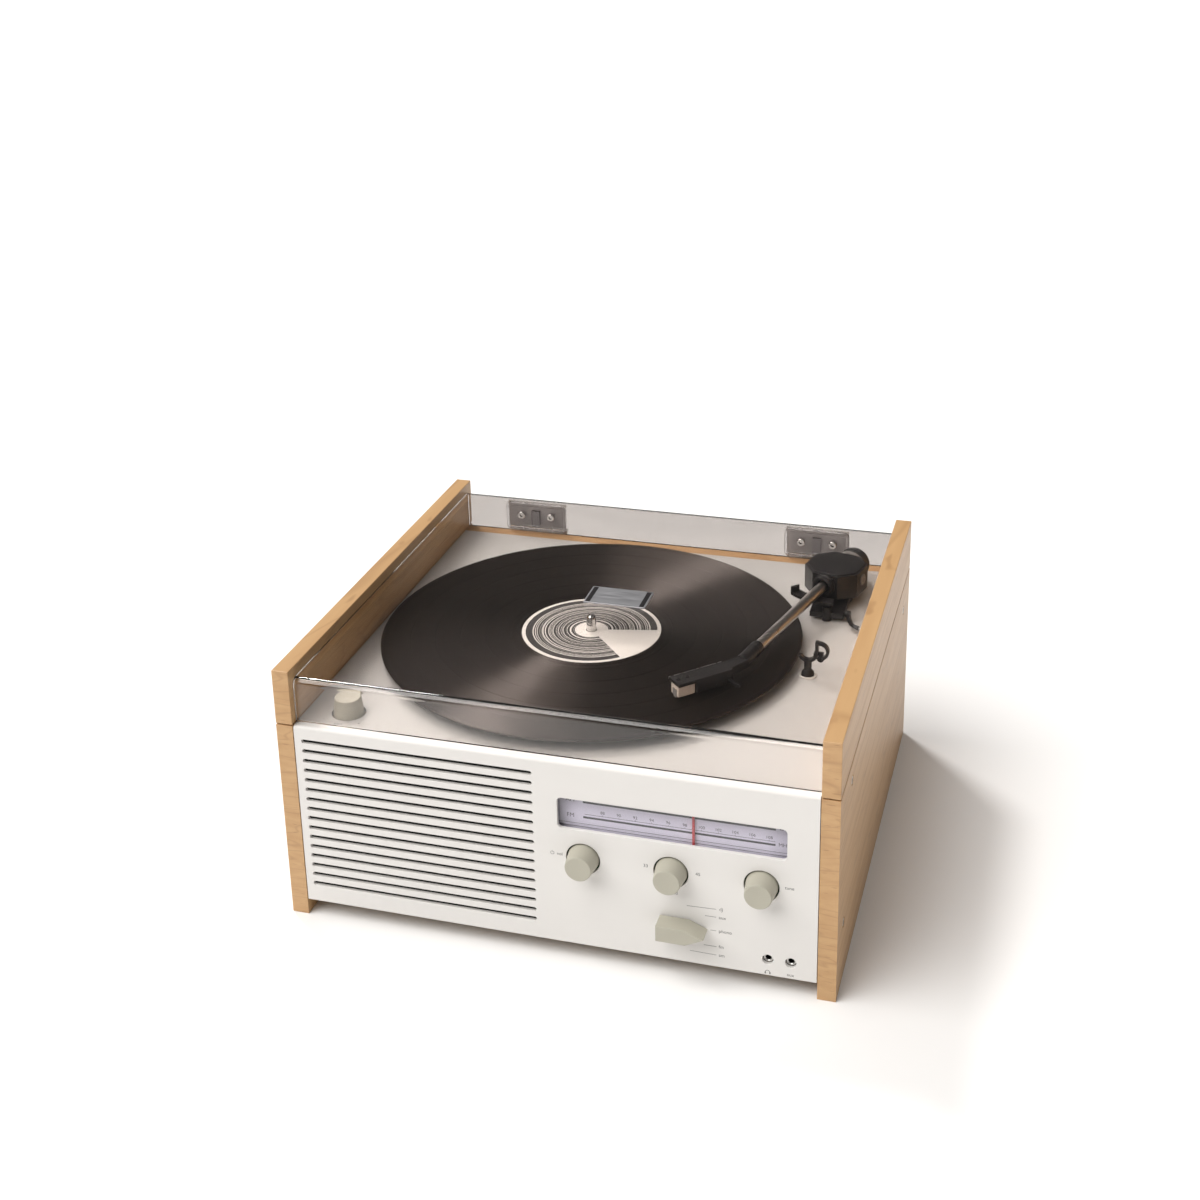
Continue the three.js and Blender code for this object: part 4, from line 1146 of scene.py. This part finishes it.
def build_lid_cover():
    low, high = span("lid_cover")
    bend, steps = 5.0, 12
    inner = bend - LID_SHEET
    front, rear, top = low.y + bend, high.y - bend, high.z - bend
    outline = [(low.y, low.z), (low.y + LID_SHEET, low.z)]
    outline += arc((front, top), inner, 180, 90, steps)
    outline += arc((rear, top), inner, 90, 0, steps)
    outline += [(high.y - LID_SHEET, low.z), (high.y, low.z)]
    outline += arc((rear, top), bend, 0, 90, steps)
    outline += arc((front, top), bend, 90, 180, steps)
    bm = soften(prism(outline, low.x, high.x), 0.3, 2, 60)
    finish_piece("acrylic_cover", placed(bm, SIDEWAYS), "lid", "smoked_acrylic", ["lid_cover"])


def build_badge():
    low, high = span("lid_badge")
    plate = soften(prism(rounded((low.x, low.y), (high.x, high.y), 1.0), low.z, high.z), 0.25, 3)
    finish_piece("badge_plate", plate, "lid", "badge_metal", ["lid_badge"])
    margin_x, margin_y, width, stands = 1.2, 1.0, 3.4, 0.05
    bands = []
    for left in (low.x + margin_x, high.x - margin_x - width):
        bands.append(block((left, low.y + margin_y, high.z - stands),
                           (left + width, high.y - margin_y, high.z + stands)))
    finish_piece("badge_bands", merged(*bands), "lid", "black_plastic")


def build_hinges():
    """Each lid leaf sits in a clear pocket on the inside of the sheet, with a seat and two screws."""
    sheet_inside = span("lid_cover")[1].y - LID_SHEET
    pocket_foot, screw_reach = 149.0, 12.5
    facing = moved(0, sheet_inside - 0.1, 0) @ FRONT
    section = ((0.0, 0.0), (0.0, 2.0), (-0.5, 2.4), (-1.5, 2.4), (-1.9, 2.0), (-2.0, 0.7), (-2.0, 0.0))
    for side in ("left", "right"):
        keep(f"lid_hinge_leaf_{side}", "hinge_metal", 0.2)
        keep(f"cabinet_hinge_leaf_{side}", "steel", 0.2)
        low, high = span(f"lid_hinge_leaf_{side}")
        x0, x1, z0, z1 = low.x - 0.8, high.x + 0.8, pocket_foot, high.z
        pocket = bmesh.new()
        loops = [ring(pocket, rounded((x0, z0), (x1, z1), 4.0, grow, 8), w) for grow, w in section]
        for first, second in zip(loops, loops[1:] + loops[:1]):
            walls(pocket, first, second)
        finish_piece(f"hinge_pocket_{side}", placed(pocket, facing), "lid", "clear_plastic")
        centre = (x0 + x1) / 2
        seat_outline = rounded((x0 + 3.0, z0 + 2.6), (x1 - 3.0, z1 - 3.2), 1.6)
        seat = soften(prism(seat_outline, 0.15, 0.9), 0.2, 2)
        stop = soften(block((centre - 3.6, z0 + 5.0, 0.8), (centre + 3.6, z1 - 6.0, 3.2)), 0.6, 2)
        finish_piece(f"hinge_seat_{side}", placed(merged(seat, stop), facing), "lid", "clear_plastic")
        for i, sign in enumerate((-1, 1)):
            place = facing @ moved(centre + sign * screw_reach, (z0 + z1) / 2 + 1.0, 1.0)
            finish_piece(f"hinge_screw_{side}_{i + 1}", placed(hex_screw(3.4, 2.0, 1.5), place), "lid",
                         "chrome")


# ---------------------------------------------------------------- inside and rear


def build_inside():
    for node in ("volume_control", "speed_switch"):
        keep(node, "steel", 0.15)
    for node in ("band_switch", "speaker_frame"):
        keep(node, "black_plastic", 0.15)
    keep("tuning_capacitor", "clear_plastic", 0.15)
    keep("main_board", "circuit_board", 0.15)
    keep("speaker_cone", "dark_screen", 0.15)


def build_rear():
    for node, look in (("speaker_socket_left", "chrome"), ("speaker_socket_right", "chrome"),
                       ("power_inlet", "black_plastic"), ("terminal_plate", "black_plastic")):
        keep(node, look, 0.15)
    low, high = span("terminal_plate")
    back, margin = high.y + 0.02, 4
    heights = (low.z + margin, high.z - margin)
    corners = [(x, z) for z in heights for x in (low.x + margin, high.x - margin)]
    for i, (x, z) in enumerate(corners):
        screw = placed(hex_screw(2.6, 1.4, 1.2), moved(x, back, z) @ REAR)
        finish_piece(f"terminal_screw_{i + 1}", screw, "cabinet", "steel")
    collar = [(5.2, 0.0), (6.6, 0.0), (6.8, 0.3), (6.6, 1.1), (5.4, 1.2), (5.2, 1.0)]
    for side, look in (("left", "red_plastic"), ("right", "white_washer")):
        socket = middle(f"speaker_socket_{side}")
        place = moved(socket.x, back, socket.z) @ REAR
        turned(f"socket_ring_{side}", collar, place, "cabinet", look, segments=48)
    for side in ("left", "right"):
        low, high = span(f"cabinet_hinge_leaf_{side}")
        for i, share in enumerate((0.2, 0.8)):
            place = moved(low.x + (high.x - low.x) * share, low.y + 1.2, low.z + 9) @ REAR
            finish_piece(f"leaf_screw_{side}_{i + 1}", placed(hex_screw(3.2, 1.6, 1.3), place),
                         "cabinet", "steel")


# ---------------------------------------------------------------- camera, light, floor


def build_camera():
    """Stands where the reference view was taken: to the right and above, aimed by the lens shift."""
    azimuth, elevation, roll = 16.73, 19.14, -1.29
    stand = (0.3172, -1.0770, 0.7281)     # metres
    data = bpy.data.cameras.new("view")
    data.lens = 52.2
    data.sensor_width = 36.0
    data.shift_x = -0.0018
    data.shift_y = -0.174
    camera = bpy.data.objects.new("view", data)
    aim = rotated(azimuth, "Z") @ rotated(90 - elevation, "X") @ rotated(roll, "Z")
    camera.matrix_world = moved(*stand) @ aim
    bpy.context.scene.collection.objects.link(camera)
    bpy.context.scene.camera = camera


def sun_light(name, towards, spread, strength, colour):
    """A soft light from far off: the way towards it, how many degrees wide it is, and its strength."""
    data = bpy.data.lights.new(name, "SUN")
    data.angle = math.radians(spread)
    data.energy = strength
    data.color = colour
    light = bpy.data.objects.new(name, data)
    light.rotation_euler = Vector(towards).to_track_quat("Z", "Y").to_euler()
    bpy.context.scene.collection.objects.link(light)


def studio_world():
    """Soft light that is dark near the horizon, so that the lid and the record don't mirror it."""
    world = bpy.data.worlds.new("studio")
    world.use_nodes = True
    tree = world.node_tree
    sky = tree.nodes["Background"]
    height = tree.nodes.new("ShaderNodeSeparateXYZ")
    shade = tree.nodes.new("ShaderNodeValToRGB")
    low, high = shade.color_ramp.elements
    low.position, low.color = 0.55, (0.035, 0.034, 0.033, 1)
    high.position, high.color = 0.95, (0.42, 0.413, 0.405, 1)
    tree.links.new(tree.nodes.new("ShaderNodeTexCoord").outputs["Generated"], height.inputs[0])
    tree.links.new(height.outputs[2], shade.inputs["Fac"])
    backdrop = tree.nodes.new("ShaderNodeMix")
    backdrop.data_type = "RGBA"
    backdrop.inputs[7].default_value = (1.0, 1.0, 1.0, 1)
    seen = tree.nodes.new("ShaderNodeLightPath").outputs["Is Camera Ray"]
    tree.links.new(seen, backdrop.inputs[0])
    tree.links.new(shade.outputs["Color"], backdrop.inputs[6])
    tree.links.new(backdrop.outputs[2], sky.inputs["Color"])
    return world


def build_studio():
    scene = bpy.context.scene
    scene.view_settings.view_transform = "Standard"
    scene.world = studio_world()
    sun_light("key", (-0.52, -0.46, 0.86), 55, 3.1, (1.0, 0.985, 0.965))
    sun_light("back", (-0.42, 0.43, 0.80), 10, 1.35, (1.0, 0.98, 0.96))
    sun_light("fill", (0.85, -0.25, 0.45), 80, 0.4, (1.0, 0.975, 0.94))

    floor_paint = Paint("studio_floor", 0.7)
    tone = floor_paint.noise(floor_paint.place, 4.0)
    floor_paint.colour(floor_paint.ramp(tone, (0.3, (0.93, 0.925, 0.92)), (0.7, (0.94, 0.935, 0.93))))
    reach = 60000
    slab = block((-reach, -reach, -2.0), (reach, reach, -0.05))
    object_from("floor", slab, floor_paint.material)


build_camera()
build_studio()
build_boards()
build_side_screws()
build_fascia()
build_deck()
build_screen()
build_dial()
build_knobs()
build_selector()
build_legends()
build_jacks()
build_record()
build_drive()
build_arm_housing()
build_arm()
build_cartridge()
build_arm_fittings()
build_lid_cover()
build_badge()
build_hinges()
build_inside()
build_rear()
